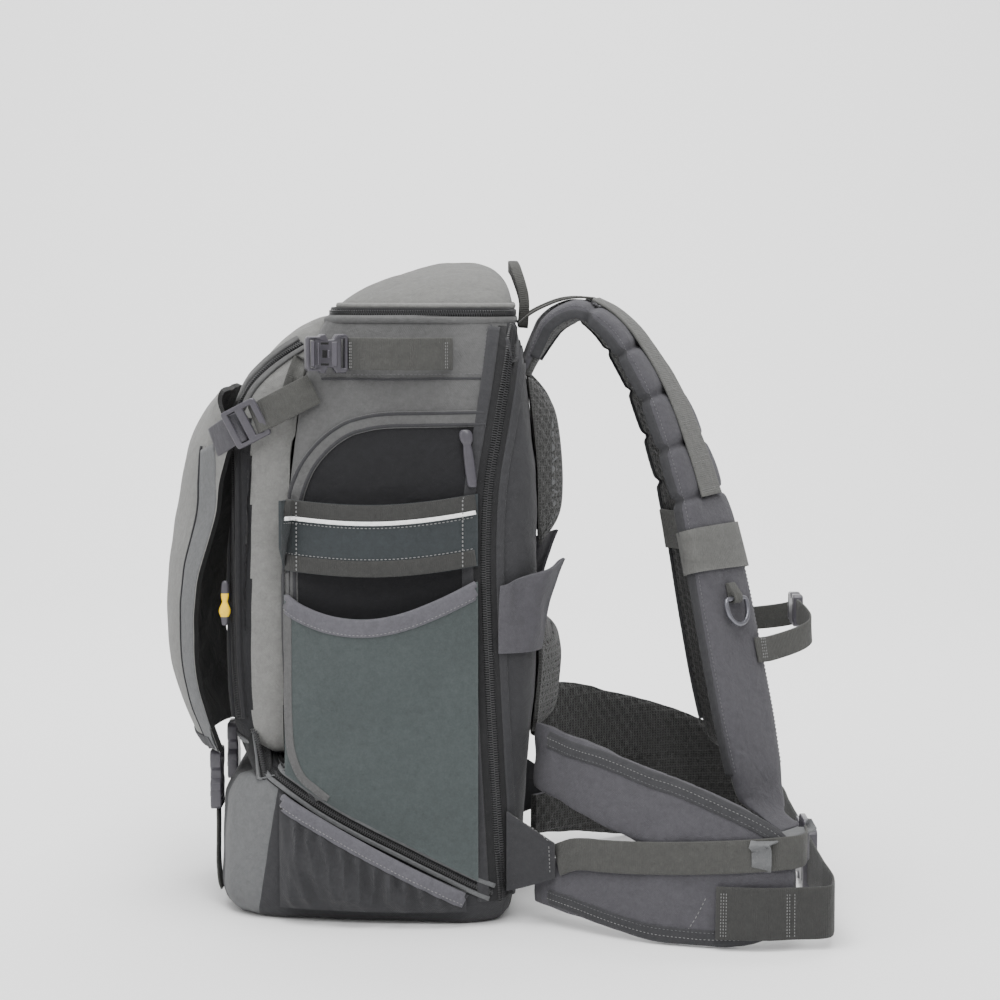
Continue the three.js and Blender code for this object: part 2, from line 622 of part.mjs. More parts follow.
function extruded(shape, depth, bevel = 0) {
  const geometry = new THREE.ExtrudeGeometry(shape, {
    depth: depth - 2 * bevel,
    bevelEnabled: bevel > 0,
    bevelThickness: bevel,
    bevelSize: bevel,
    bevelOffset: -bevel,
    bevelSegments: 1,
    curveSegments: 3,
  });
  const bare = new THREE.BufferGeometry().setAttribute("position", geometry.getAttribute("position"));
  return mergeVertices(bare.translate(0, 0, bevel - depth / 2));
}

function roundedBox(x0, x1, halfWidth, r) {
  const shape = new THREE.Shape();
  shape.moveTo(x0 + r, -halfWidth);
  shape.lineTo(x1 - r, -halfWidth);
  shape.quadraticCurveTo(x1, -halfWidth, x1, r - halfWidth);
  shape.lineTo(x1, halfWidth - r);
  shape.quadraticCurveTo(x1, halfWidth, x1 - r, halfWidth);
  shape.lineTo(x0 + r, halfWidth);
  shape.quadraticCurveTo(x0, halfWidth, x0, halfWidth - r);
  shape.lineTo(x0, r - halfWidth);
  shape.quadraticCurveTo(x0, -halfWidth, x0 + r, -halfWidth);
  return shape;
}

function slot(x, halfWidth, half) {
  const hole = new THREE.Path();
  hole.moveTo(x - half, -halfWidth);
  hole.lineTo(x - half, halfWidth);
  hole.lineTo(x + half, halfWidth);
  hole.lineTo(x + half, -halfWidth);
  hole.closePath();
  return hole;
}

// Outlines of buckles from the webbing bar: shares of the length and of half the width. The notches are
// where the prongs show.
const SOCKET_OUTLINE = [
  [0, 0.86], [0.05, 1], [0.3, 1], [0.36, 0.72], [0.46, 0.66], [0.52, 0.72], [0.56, 1], [0.62, 1],
];
const FASTENED_OUTLINE = [
  [0, 0.86], [0.06, 1], [0.28, 1], [0.35, 0.74], [0.48, 0.7],
  [0.55, 1], [0.66, 1], [0.7, 0.9], [0.95, 0.9], [1, 0.76],
];
const BUCKLE_EDGE = 0.8; // bevel of moulded edges
function buckleShape(outline, length, half) {
  const shape = new THREE.Shape();
  shape.moveTo(outline[0][0] * length, -outline[0][1] * half);
  outline.slice(1).forEach(([x, y]) => shape.lineTo(x * length, -y * half));
  outline.slice().reverse().forEach(([x, y]) => shape.lineTo(x * length, y * half));
  shape.closePath();
  return shape;
}

// A side-release buckle's socket, from its webbing bar at x 0, with a notch in each side.
function buckleSocket({ length, width, thick }) {
  const half = width / 2;
  const shape = buckleShape(SOCKET_OUTLINE, length, half);
  shape.holes.push(slot(length * 0.1, half * 0.76, length * 0.035));
  return extruded(shape, thick, BUCKLE_EDGE);
}

// The prongs' half: a crossbar against the socket's mouth and a webbing bar behind it.
function bucklePlug({ length, width, thick }) {
  const half = width / 2;
  const shape = roundedBox(length * 0.62 + GAP, length, half * 0.95, 2);
  shape.holes.push(slot(length * 0.88, half * 0.76, length * 0.035));
  return extruded(shape, thick * 0.8, BUCKLE_EDGE);
}

// A whole fastened buckle in one solid, with both slots.
function wholeBuckle({ length, width, thick }) {
  const half = width / 2;
  const shape = buckleShape(FASTENED_OUTLINE, length, half);
  shape.holes.push(slot(length * 0.12, half * 0.76, length * 0.045));
  shape.holes.push(slot(length * 0.86, half * 0.72, length * 0.045));
  return extruded(shape, thick, BUCKLE_EDGE);
}

function ladderLock({ length, width, thick }) {
  const shape = roundedBox(-length / 2, length / 2, width / 2, 3);
  shape.holes.push(slot(-length * 0.22, width * 0.39, length * 0.11));
  shape.holes.push(slot(length * 0.22, width * 0.36, length * 0.11));
  return extruded(shape, thick, BUCKLE_EDGE);
}

// The hip wing's stations: shares of WING_REACH beyond the back panel, of WING_SPREAD at its upper edge,
// of WING_HEIGHT at its upper and lower edges, and at the notch that parts it into two roots.
const WING_STATIONS = [
  { out: 0, spread: 0.565, top: 1, cut: 0.68, under: 0.325, low: 0.105 },
  { out: 0.045, spread: 0.61, top: 0.99, cut: 0.655, under: 0.33, low: 0.1 },
  { out: 0.13, spread: 0.695, top: 0.965, cut: 0.61, under: 0.345, low: 0.085 },
  { out: 0.244, spread: 0.782, top: 0.92, cut: 0.55, under: 0.365, low: 0.05 },
  { out: 0.36, spread: 0.85, top: 0.875, cut: 0.49, under: 0.385, low: 0.02 },
  { out: 0.44, spread: 0.893, top: 0.845, cut: 0.455, under: 0.405, low: 0.006 },
  { out: 0.555, spread: 0.936, top: 0.805, cut: 0.45, under: 0.35, low: 0 },
  { out: 0.7, spread: 0.975, top: 0.735, cut: 0.45, under: 0.33, low: 0 },
  { out: 0.83, spread: 0.996, top: 0.66, cut: 0.43, under: 0.31, low: 0.012 },
  { out: 0.93, spread: 0.998, top: 0.59, cut: 0.42, under: 0.3, low: 0.07 },
  { out: 0.98, spread: 0.985, top: 0.54, cut: 0.4, under: 0.3, low: 0.13 },
  { out: 1, spread: 0.972, top: 0.48, cut: 0.38, under: 0.3, low: 0.2 },
];
const NOTCH_END = 5;
const wingX = (row) => BACK_REACH + row.out * WING_REACH;
const wingZ = (share) => WING_CLEAR + share * (WING_HEIGHT - WING_CLEAR);
// The wing's middle surface leans out towards its lower edge.
function wingY(row, z) {
  return -row.spread * WING_SPREAD - WING_LEAN * (1 - z / WING_HEIGHT);
}

// A point beside a station's middle surface, proud of it to the outside.
function wingPoint(i, z, proud) {
  const before = WING_STATIONS[Math.max(i - 1, 0)];
  const next = WING_STATIONS[Math.min(i + 1, WING_STATIONS.length - 1)];
  const run = vec(wingX(next) - wingX(before), (before.spread - next.spread) * WING_SPREAD, 0);
  const normal = run.normalize().cross(vec(0, 0, 1));
  if (normal.y > 0) normal.negate();
  const row = WING_STATIONS[i];
  return vec(wingX(row), wingY(row, z), z).addScaledVector(normal, proud);
}

const WING_BINDING = 0.035; // height of a bound edge and of the notch's edge: shares of WING_HEIGHT
const NOTCH_BINDING = 0.02;
const WING_FULLNESS = [0.3, 0.85, 1, 0.85, 0.4, 0.4, 0.85, 1, 0.85, 0.3]; // padding between those heights
function hipWing() {
  const lowerHalf = ({ under, low }) =>
    [low, low + WING_BINDING, mix(low, under, 0.5), under - NOTCH_BINDING, under];
  const upperHalf = ({ top, cut }) =>
    [cut, cut + NOTCH_BINDING, mix(cut, top, 0.5), top - WING_BINDING, top];
  const heights = (row) => [...lowerHalf(row), ...upperHalf(row)];
  const last = WING_STATIONS.length - 1;
  const face = (side) =>
    WING_STATIONS.map((row, i) => {
      const end = i === 0 || i === last ? 0.35 : 1;
      return heights(row).map((share, j) => {
        const inNotch = i <= NOTCH_END || (j !== 4 && j !== 5);
        const full = Math.min(end, inNotch ? WING_FULLNESS[j] : 1);
        return wingPoint(i, wingZ(share), (side * full * WING_THICK) / 2);
      });
    });
  return slab(face(1), face(-1), (i, j) => i < NOTCH_END && j === 4);
}

// A point outside the wing's outer face, at a share of the wing's reach.
function outsideWing(out, z, proud) {
  const next = Math.max(1, WING_STATIONS.findIndex((row) => row.out >= out));
  const ends = [next - 1, next].map((i) => wingPoint(i, z, WING_THICK / 2 + SEAT + proud));
  const [a, b] = [WING_STATIONS[next - 1], WING_STATIONS[next]];
  return ends[0].lerp(ends[1], (out - a.out) / (b.out - a.out));
}

// The webbing that draws the shoulder strap down: from the anchor tab, outside the wing and round its tip.
const ANCHOR_TIP = { x: 1.1, up: 0.112 };
const LOCK_AT = { out: 1.165, spread: 1.3, up: 0.158 };
function anchorTab() {
  const rows = grid(3, 3, (v, s) => {
    const x = BACK_REACH * mix(0.8, ANCHOR_TIP.x, s);
    const z = RIM_HEIGHT * mix(mix(0.055, 0.082, s), mix(0.19, 0.14, s), v);
    const y = mix(sideAt(BACK_REACH * 0.8, z) + SEAT, bodyWide(z) + 2, s ** 0.6);
    return vec(x, -y - 3, z);
  });
  return sheet(rows, 3, towardsBody);
}

function lowerWeb() {
  const z = RIM_HEIGHT * ANCHOR_TIP.up;
  const start = vec(BACK_REACH * ANCHOR_TIP.x + GAP + 1, -bodyWide(z) - 2, z);
  const along = [0.18, 0.3, 0.42, 0.56, 0.7, 0.84, 0.96, 1].map((out) =>
    outsideWing(out, RIM_HEIGHT * mix(0.122, 0.155, out), WEB_SHEET + 0.5),
  );
  const tip = along[along.length - 1];
  const lock = lockPlace();
  const round = vec(mix(tip.x, lock.x, 0.85), mix(tip.y, lock.y, 0.3), mix(tip.z, lock.z, 0.5));
  const end = vec(lock.x, lock.y - LOCK.length * 0.5 - GAP - 0.8, lock.z);
  const route = new THREE.CatmullRomCurve3([start, ...along, round, end], false, "centripetal");
  const [count, bend] = [22, 18]; // the webbing turns across the back at the bend
  const across = (i) => vec(0, i < bend - 1 ? WING_LEAN / WING_HEIGHT : 0, 1);
  const out = (i) => (i > bend ? vec(1, 0, 0) : vec(0, -1, 0));
  return webbing(route.getPoints(count), WEB, across, out);
}

function lockPlace() {
  return vec(
    BACK_REACH + LOCK_AT.out * STRAP_REACH,
    -LOCK_AT.spread * STRAP_SPREAD,
    LOCK_AT.up * RIM_HEIGHT,
  );
}

// The hip belt's webbing: sewn on the wing, round its tip and across to the buckle.
function hipWeb() {
  const z = BELT_HEIGHT;
  const sewn = [0.7, 0.8, 0.9, 0.97].map((out) => outsideWing(out, z, 2.7));
  const tip = sewn[sewn.length - 1];
  const round = [vec(BELT_REACH - 7, tip.y * 0.975, z), vec(BELT_REACH, tip.y * 0.87, z)];
  const across = vec(BELT_REACH, tip.y * 0.5, z);
  const end = vec(BELT_REACH, -HIP_BUCKLE.length / 2 - GAP, z);
  const line = new THREE.CatmullRomCurve3([...sewn, ...round, across, end], false, "centripetal");
  const count = 24;
  const lean = (i) => vec(0, (Math.max(0, 1 - i / 10) * WING_LEAN) / WING_HEIGHT, 1);
  const out = (i) => (i > count * 0.55 ? vec(1, 0, 0) : vec(0.4, -1, 0));
  return webbing(line.getPoints(count), WIDE_WEB, lean, out, HIP_SHEET);
}

// The sternum strap's half: from the strap's outer face, out and round to the buckle.
const STERNUM = { station: 10.1, reach: 341, up: 0.487 };
function sternumWeb() {
  const { along, out } = strapAt(STERNUM.station);
  const start = onStrap(STERNUM.station, 0.5, WEB_SHEET - 0.2);
  const away = onStrap(STERNUM.station, 1, WEB_SHEET + 2);
  const end = vec(STERNUM.reach, -STERNUM_BUCKLE.length / 2 - GAP - 0.8, STERNUM.up * RIM_HEIGHT);
  const bend = vec(STERNUM.reach + 6, mix(away.y, end.y, 0.45), mix(away.z, end.z, 0.45));
  const line = new THREE.CatmullRomCurve3([start, away, bend, end.clone().add(vec(0.5, -6, 0)), end]);
  const across = (i) => along.clone().negate().lerp(vec(0, 0, 1), Math.min(1, i / 8));
  return webbing(line.getPoints(14), NARROW_WEB, across, (i) => (i < 4 ? out : vec(1, -0.4, 0)));
}

// The strap that ties the flap's upper corner to the body, through its ladder lock.
const FLAP_LOCK = { out: 0.79, wide: 0.815, up: 0.822 };
const FLAP_SEAM = { out: 0.38, up: 0.88 };
function flapTie() {
  const lock = vec(-FRONT_REACH * FLAP_LOCK.out, -HALF_WIDTH * FLAP_LOCK.wide, RIM_HEIGHT * FLAP_LOCK.up);
  const anchor = onSide(-FRONT_REACH * FLAP_SEAM.out, RIM_HEIGHT * FLAP_SEAM.up, WEB_SHEET + 0.1);
  return { lock, anchor, run: anchor.clone().sub(lock).normalize() };
}

function flapStrap() {
  const { lock, anchor, run } = flapTie();
  const from = lock.clone().addScaledVector(run, LOCK.length / 2 + GAP + 0.4);
  const middle = from.clone().lerp(anchor, 0.5).add(vec(0, -4, 0));
  const line = new THREE.QuadraticBezierCurve3(from, middle, anchor);
  const normal = sideNormal(anchor.x, anchor.z);
  return webbing(line.getPoints(6), WEB, run.clone().cross(normal), vec(0, -1, 0));
}

// The strap under the flap: from the flap's lower edge through a buckle to the front of the base.
const BASE_STRAP = { y: 0.44, buckle: 0.2665, sewn: 0.25 };
function frontOfBody(y, z) {
  ray.set(vec(-10 * FRONT_REACH, y, z), vec(1, 0, 0));
  const [hit] = ray.intersectObject(wholeShell);
  return hit ? hit.point.x : -bodyFront(z);
}

function baseStrap() {
  const y = -BASE_STRAP.y * HALF_WIDTH;
  const buckleFoot = BASE_STRAP.buckle * RIM_HEIGHT - BASE_BUCKLE.length;
  const x = baseBuckleX(y);
  const at = (up) => {
    const z = up * buckleFoot;
    const lift = up > BASE_STRAP.sewn ? 1.6 * SEAT + 1.4 * WEB_SHEET : 0.5 + 1.06 * WEB_SHEET;
    return vec(mix(frontOfBody(y, z) - lift, x, Math.max(0, up - 0.35) / 0.65), y, z);
  };
  const route = [1 - 2 * (GAP / buckleFoot), 0.85, 0.65, 0.45, BASE_STRAP.sewn, 0.17].map(at);
  return webbing(route, WEB, vec(0, 1, 0), vec(-1, 0, 0));
}

function baseBuckleX(y) {
  const foot = BASE_STRAP.buckle * RIM_HEIGHT - BASE_BUCKLE.length;
  return frontOfBody(y, foot) - SEAT - BASE_BUCKLE.thick / 2;
}

// Zip pulls from the slider down: shares of the length, and of the width and thickness.
const PLAIN_PULL = [[0, 0.8], [0.06, 1.3], [0.2, 1.3], [0.26, 0.6], [0.34, 1], [0.96, 1], [1, 0.7]];
const BEADED_PULL = [
  [0, 0.5], [0.08, 1], [0.42, 1], [0.46, 0.5], [0.58, 1.24], [0.68, 1.55], [0.78, 1.085], [0.84, 0.9], [1, 0.8],
];

// A moulded zip pull hanging from top to foot.
function zipPull(outline, top, foot, width, thick) {
  const rings = outline.map(([down, size]) => {
    const middle = top.clone().lerp(foot, down);
    return [[-1, -1], [1, -1], [1, 1], [-1, 1]].map(([a, b]) =>
      middle.clone().add(vec((a * size * width) / 2, (b * Math.min(size, 1.1) * thick) / 2, 0)),
    );
  });
  return loft(rings);
}

// The tab that holds the D-ring: a block on the strap with a tunnel for the ring's bar.
const RING_STATION = 9.35;
const TAB = { length: 13, shoulder: 3, wall: 1.4, toe: 1.2 };
function ringPlace() {
  const { across, along, out } = strapAt(RING_STATION);
  const bar = onStrap(RING_STATION, -0.05, RING_WIRE + RING_PLAY + 1.6);
  return { across, along, out, bar };
}

function ringTab() {
  const { across, along, out, bar } = ringPlace();
  const r = RING_WIRE + RING_PLAY;
  const round = r + TAB.wall;
  const shape = new THREE.Shape();
  shape.moveTo(-TAB.length, -round);
  shape.lineTo(0, -round);
  shape.absarc(0, 0, round, -Math.PI / 2, Math.PI / 2, false);
  shape.lineTo(-TAB.shoulder, round);
  shape.lineTo(-TAB.length, TAB.toe - r);
  shape.closePath();
  const bore = new THREE.Path();
  bore.absarc(0, 0, r, 0, 2 * Math.PI, true);
  shape.holes.push(bore);
  return placed(extruded(shape, RING_WIDTH * 0.36), bar, along, out);
}

const UPPER_PAD = { foot: 0.62, top: 0.895, inner: 0.1, outer: 0.76, thick: PAD_THICK, square: 4 };
const LUMBAR_PAD = { foot: 0.3, top: 0.47, inner: -0.76, outer: 0.76, thick: LUMBAR_THICK, square: 6 };
const SLEEVE_AT = { from: 8.2, to: 8.9 };

// Adds a piece to a group under its name.
function adder(group, suffix = "") {
  return (name, geometry, material) => {
    const mesh = new THREE.Mesh(geometry, material);
    mesh.name = name + suffix;
    group.add(mesh);
  };
}

// One side of the pack, drawn as the right side.
function side(name) {
  const group = new THREE.Group();
  const add = adder(group, "_" + name);
  add("upper_back_pad", backPad(UPPER_PAD), MESH_BLACK);
  add("side_pocket", sidePocket(), FABRIC_STRETCH);
  add("side_band", sideBand(), WEBBING);
  add("base_pocket", basePocket(), FABRIC_DARK);
  add("corner_pocket", cornerPocket(), FABRIC_DARK);
  const closing = sideStrap();
  add("side_strap", closing.strap, WEBBING);
  add("side_buckle", closing.buckle, PLASTIC);

  const tie = flapTie();
  add("flap_strap", flapStrap(), WEBBING);
  const tieAcross = vec(0, 1, 0).cross(tie.run).normalize();
  add("flap_lock", placed(ladderLock(LOCK), tie.lock, tie.run, tieAcross), PLASTIC);
  const baseY = -BASE_STRAP.y * HALF_WIDTH;
  add("base_strap", baseStrap(), WEBBING);
  const buckleTop = vec(baseBuckleX(baseY), baseY, BASE_STRAP.buckle * RIM_HEIGHT);
  add("base_buckle", placed(wholeBuckle(BASE_BUCKLE), buckleTop, vec(0, 0, -1), vec(0, 1, 0)), PLASTIC);

  add("shoulder_strap", shoulderStrap(), FABRIC_DARK);
  add("daisy_web", daisyWeb(), FABRIC_LIGHT);
  add("load_lifter", loadLifter(), WEBBING);
  add("strap_sleeve", strapSleeve(SLEEVE_AT.from, SLEEVE_AT.to), WEBBING);
  const ring = ringPlace();
  add("ring_tab", ringTab(), WEBBING);
  add("d_ring", dRing(ring.bar, ring.across, ring.along, ring.out), STEEL);
  add("sternum_web", sternumWeb(), WEBBING);

  add("anchor_tab", anchorTab(), FABRIC_DARK);
  add("lower_web", lowerWeb(), WEBBING);
  add("ladder_lock", placed(ladderLock(LOCK), lockPlace(), vec(0, 1, 0), vec(0, 0, 1)), PLASTIC);
  add("hip_wing", hipWing(), FABRIC_DARK);
  add("hip_web", hipWeb(), WEBBING);

  const pull = [[0.545, 0.815], [0.59, 0.722]].map(([x, z]) => onSide(BACK_REACH * x, RIM_HEIGHT * z, 3.6));
  add("side_zip_pull", zipPull(PLAIN_PULL, pull[0], pull[1], 9, 5), PLASTIC);
  const bead = [0.56, 0.485].map((up) => {
    const z = RIM_HEIGHT * up;
    const [x, y] = [POCKET_ROUND - POCKET_DEPTH * 0.96 - bodyFront(z), POCKET_ROUND - HALF_WIDTH * 0.775];
    const [r, a] = [POCKET_ROUND + 6.6, radians(-150)];
    return vec(x + r * Math.cos(a), y + r * Math.sin(a), z);
  });
  add("front_zip_pull", zipPull(BEADED_PULL, bead[0], bead[1], 7, 5), PLASTIC_YELLOW);
  return group;
}

function middle() {
  const group = new THREE.Group();
  const add = adder(group);
  add("base_shell", shell(0, SEAM), FABRIC_DARK);
  add("main_shell", shell(SEAM, 1), FABRIC_DARK);
  add("top_cover", topCover(), FABRIC_LIGHT);
  add("front_pocket", frontPocket(), FABRIC_DARK);
  add("front_flap", frontFlap(), FABRIC_LIGHT);
  add("lumbar_pad", backPad(LUMBAR_PAD), MESH_BLACK);
  add("grab_handle", grabHandle(), WEBBING);
  const belt = vec(BELT_REACH, -HIP_BUCKLE.length / 2, BELT_HEIGHT);
  add("hip_buckle_socket", placed(buckleSocket(HIP_BUCKLE), belt, vec(0, 1, 0), vec(0, 0, 1)), PLASTIC);
  add("hip_buckle_plug", placed(bucklePlug(HIP_BUCKLE), belt, vec(0, 1, 0), vec(0, 0, 1)), PLASTIC);
  const sternum = vec(STERNUM.reach, -STERNUM_BUCKLE.length / 2, STERNUM.up * RIM_HEIGHT);
  add("sternum_buckle", placed(wholeBuckle(STERNUM_BUCKLE), sternum, vec(0, 1, 0), vec(0, 0, 1)), PLASTIC);
  return group;
}

const pack = new THREE.Group();
const left = side("left");
left.scale.y = -1;
pack.add(middle(), side("right"), left);

export default pack;
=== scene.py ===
"""Looks for the camera backpack: fabrics, seams, zips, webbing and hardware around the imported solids.

Lengths are written in millimetres and turned into metres where a mesh is made. The right side is built,
and mirrored() makes the left one.
"""
import itertools
import math

import bmesh
import bpy
import numpy as np
from mathutils import Matrix, Vector, noise
from mathutils.bvhtree import BVHTree


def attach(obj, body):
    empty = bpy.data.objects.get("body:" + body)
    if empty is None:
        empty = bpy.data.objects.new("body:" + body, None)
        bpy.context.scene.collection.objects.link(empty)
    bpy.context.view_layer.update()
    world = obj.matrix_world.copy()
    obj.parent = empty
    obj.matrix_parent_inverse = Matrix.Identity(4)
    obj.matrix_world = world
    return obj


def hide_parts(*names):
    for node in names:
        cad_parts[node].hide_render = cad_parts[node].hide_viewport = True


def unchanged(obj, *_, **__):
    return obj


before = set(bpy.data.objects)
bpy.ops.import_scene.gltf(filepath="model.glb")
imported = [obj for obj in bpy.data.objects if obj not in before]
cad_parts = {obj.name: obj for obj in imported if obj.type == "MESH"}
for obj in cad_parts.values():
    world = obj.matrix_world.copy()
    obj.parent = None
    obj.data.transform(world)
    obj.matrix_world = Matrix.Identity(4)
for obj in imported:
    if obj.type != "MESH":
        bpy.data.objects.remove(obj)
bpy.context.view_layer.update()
MM = 0.001
UV = "cloth"
PIECES = []


def unit(v):
    return v / np.maximum(np.linalg.norm(v, axis=-1, keepdims=True), 1e-9)


def mix(a, b, t):
    return a + (b - a) * t


def hills(points, size, seed=0.0):
    """Smooth noise from -1 to 1 at points in mm, with bumps about size across."""
    return np.array([noise.noise(Vector(p) / size + Vector((seed, 2 * seed, -seed))) for p in points])


# Materials


def linear(rgb):
    shares = (c / 255 for c in rgb)
    return tuple(((c + 0.055) / 1.055) ** 2.4 if c > 0.04045 else c / 12.92 for c in shares) + (1.0,)


def add_node(tree, kind, settings=(), **inputs):
    node = tree.nodes.new("ShaderNode" + kind)
    for key, value in dict(settings).items():
        setattr(node, key, value)
    for key, value in inputs.items():
        name = key.replace("_", " ")
        socket = node.inputs[int(key[1:])] if key[0] == "i" and key[1:].isdigit() else node.inputs[name]
        if isinstance(value, bpy.types.NodeSocket):
            tree.links.new(value, socket)
        else:
            socket.default_value = value
    return node


def calc(tree, operation, a, b=0.0):
    return add_node(tree, "Math", {"operation": operation}, i0=a, i1=b).outputs[0]


def scaled(tree, value, gain, base):
    """gain * value + base."""
    made = calc(tree, "MULTIPLY_ADD", value, gain)
    made.node.inputs[2].default_value = base
    return made


def base_material(name, rgb, roughness, patchy, grain, grain_size):
    """A principled material whose colour varies in wide patches and in fine grain, and lightens on edges."""
    made = bpy.data.materials.new(name)
    made.use_nodes = True
    tree = made.node_tree
    shader = tree.nodes["Principled BSDF"]
    place = add_node(tree, "TexCoord").outputs["Object"]
    patches = add_node(tree, "TexNoise", Vector=place, Scale=14.0, Detail=3.0, Roughness=0.6).outputs["Fac"]
    specks = add_node(tree, "TexNoise", Vector=place, Scale=1.0 / grain_size, Detail=2.0).outputs["Fac"]
    tone = scaled(tree, patches, patchy, 1 - patchy / 2)
    fine = scaled(tree, specks, grain, 1 - grain / 2)
    worn = add_node(tree, "NewGeometry").outputs["Pointiness"]
    edge = add_node(tree, "MapRange", Value=worn, i1=0.52, i2=0.6, i3=0.0, i4=0.22).outputs[0]
    mottle = add_node(tree, "TexNoise", Vector=place, Scale=210.0, Detail=3.0, Roughness=0.7).outputs["Fac"]
    blotch = scaled(tree, mottle, 0.5, 0.75)
    brightness = calc(tree, "ADD", calc(tree, "MULTIPLY", calc(tree, "MULTIPLY", tone, fine), blotch), edge)
    colour = add_node(
        tree, "MixRGB", {"blend_type": "MULTIPLY"}, Fac=1.0, Color1=linear(rgb), Color2=brightness
    )
    tree.links.new(colour.outputs[0], shader.inputs["Base Color"])
    tree.links.new(scaled(tree, specks, 0.12, roughness - 0.06), shader.inputs["Roughness"])
    return made, tree, shader


def cloth(name, rgb, pitch=0.9, roughness=0.9, sheen=0.07, rise=0.25, patchy=0.14, ribs=False):
    """Woven cloth: threads over and under each other, or ribs across a strap's length."""
    made, tree, shader = base_material(name, rgb, roughness, patchy, 0.34, 0.0015)
    shader.inputs["Sheen Weight"].default_value = sheen
    shader.inputs["Sheen Roughness"].default_value = 0.5
    shader.inputs["Specular IOR Level"].default_value = 0.25
    flat = add_node(tree, "UVMap", {"uv_map": UV}).outputs[0]
    split = add_node(tree, "SeparateXYZ", i0=flat)
    turns = math.pi / (pitch * MM)
    along = calc(tree, "SINE", calc(tree, "MULTIPLY", split.outputs[0], turns))
    across = calc(tree, "SINE", calc(tree, "MULTIPLY", split.outputs[1], turns * (0.35 if ribs else 1)))
    if ribs:
        height = calc(tree, "ADD", calc(tree, "ABSOLUTE", along), calc(tree, "MULTIPLY", across, 0.25))
    else:
        height = calc(tree, "MULTIPLY", along, across)
    place = add_node(tree, "TexCoord").outputs["Object"]
    fuzz = add_node(tree, "TexNoise", Vector=place, Scale=900.0, Detail=2.0).outputs["Fac"]
    height = calc(tree, "ADD", height, fuzz)
    creases = add_node(tree, "TexNoise", Vector=place, Scale=48.0, Detail=6.0, Roughness=0.62, Distortion=0.6)
    soft = add_node(tree, "Bump", Strength=0.75, Distance=0.0034, Height=creases.outputs["Fac"])
    bump = add_node(tree, "Bump", Strength=rise, Distance=0.0004, Height=height, Normal=soft.outputs[0])
    tree.links.new(bump.outputs[0], shader.inputs["Normal"])
    return made


def air_mesh(name, rgb):
    """Open spacer mesh: a knitted net whose open cells are darkened as painted shade."""
    made, tree, shader = base_material(name, rgb, 0.8, 0.15, 0.3, 0.0012)
    flat = add_node(tree, "UVMap", {"uv_map": UV}).outputs[0]
    kind = {"feature": "DISTANCE_TO_EDGE"}
    cells = add_node(tree, "TexVoronoi", kind, Vector=flat, Scale=420.0, Randomness=0.25)
    net = add_node(tree, "MapRange", Value=cells.outputs[0], i1=0.05, i2=0.3, i3=1.0, i4=0.0).outputs[0]
    old = shader.inputs["Base Color"].links[0].from_socket
    # Painted shade: colour times 0.45 in the middle of each open cell, up to 1.35 on the threads.
    dark = add_node(tree, "MixRGB", {"blend_type": "MULTIPLY"}, Fac=1.0, Color1=old)
    tree.links.new(scaled(tree, net, 0.9, 0.45), dark.inputs["Color2"])
    tree.links.new(dark.outputs[0], shader.inputs["Base Color"])
    bump = add_node(tree, "Bump", Strength=0.6, Distance=0.0008, Height=net)
    tree.links.new(bump.outputs[0], shader.inputs["Normal"])
    shader.inputs["Sheen Weight"].default_value = 0.15
    return made


def moulded(name, rgb, roughness=0.42, metal=0.0):
    """Moulded plastic or painted metal with a fine grain and rubbed edges."""
    made, tree, shader = base_material(name, rgb, roughness, 0.08, 0.1, 0.0008)
    shader.inputs["Metallic"].default_value = metal
    place = add_node(tree, "TexCoord").outputs["Object"]
    grain = add_node(tree, "TexNoise", Vector=place, Scale=1800.0, Detail=1.0).outputs["Fac"]
    bump = add_node(tree, "Bump", Strength=0.12, Distance=0.0003, Height=grain)
    tree.links.new(bump.outputs[0], shader.inputs["Normal"])
    return made


LIGHT = cloth("light_cloth", (112, 112, 110))
LID = cloth("lid_cloth", (101, 101, 99))
MIDDLE = cloth("middle_cloth", (82, 82, 82))
DARK = cloth("dark_cloth", (50, 50, 52))
# Painted shade: the darkest cloth, put where only shade falls, such as the recess behind the side pocket, the
# pocket behind the flap and the body's back.
PAINTED_SHADE = cloth("shade_cloth", (30, 30, 32))
STRAP = cloth("strap_cloth", (70, 69, 73))
BINDING = cloth("binding_tape", (52, 52, 54), pitch=0.7)
EDGE = cloth("flap_edge_cloth", (92, 93, 94))
STRETCH = cloth("stretch_knit", (64, 70, 70), pitch=0.6, sheen=0.12, patchy=0.2)
BAND = cloth("elastic_band", (48, 52, 54), pitch=0.6)
TAPE = cloth("hem_tape", (84, 83, 88), pitch=0.7)
WEB = cloth("webbing_ribs", (66, 66, 64), pitch=1.6, rise=0.6, ribs=True)
WEB_DARK = cloth("webbing_dark", (54, 54, 53), pitch=1.6, rise=0.6, ribs=True)
WEB_LIGHT = cloth("webbing_light", (86, 86, 84), pitch=1.6, rise=0.6, ribs=True)
ZIP_TAPE = cloth("zip_tape", (34, 34, 35), pitch=0.8)
THREAD = cloth("thread", (112, 112, 112), pitch=0.5)
DULL_THREAD = cloth("dull_thread", (84, 84, 86), pitch=0.5)
REFLECTIVE = cloth("reflective_line", (236, 236, 236), pitch=0.8, roughness=0.5)
MESH = air_mesh("spacer_mesh", (42, 42, 41))
# Black lining on the flap's inside. The buckles' windows also take it as painted shade.
LINING_AND_PAINTED_SHADOW = cloth("black_lining", (18, 18, 18))
COIL = moulded("zip_coil", (44, 44, 45), 0.38)
PLASTIC = moulded("buckle_plastic", (64, 62, 68), 0.36)
YELLOW = moulded("yellow_plastic", (240, 196, 26), 0.4)
METAL = moulded("ring_metal", (104, 104, 110), 0.3, 0.7)

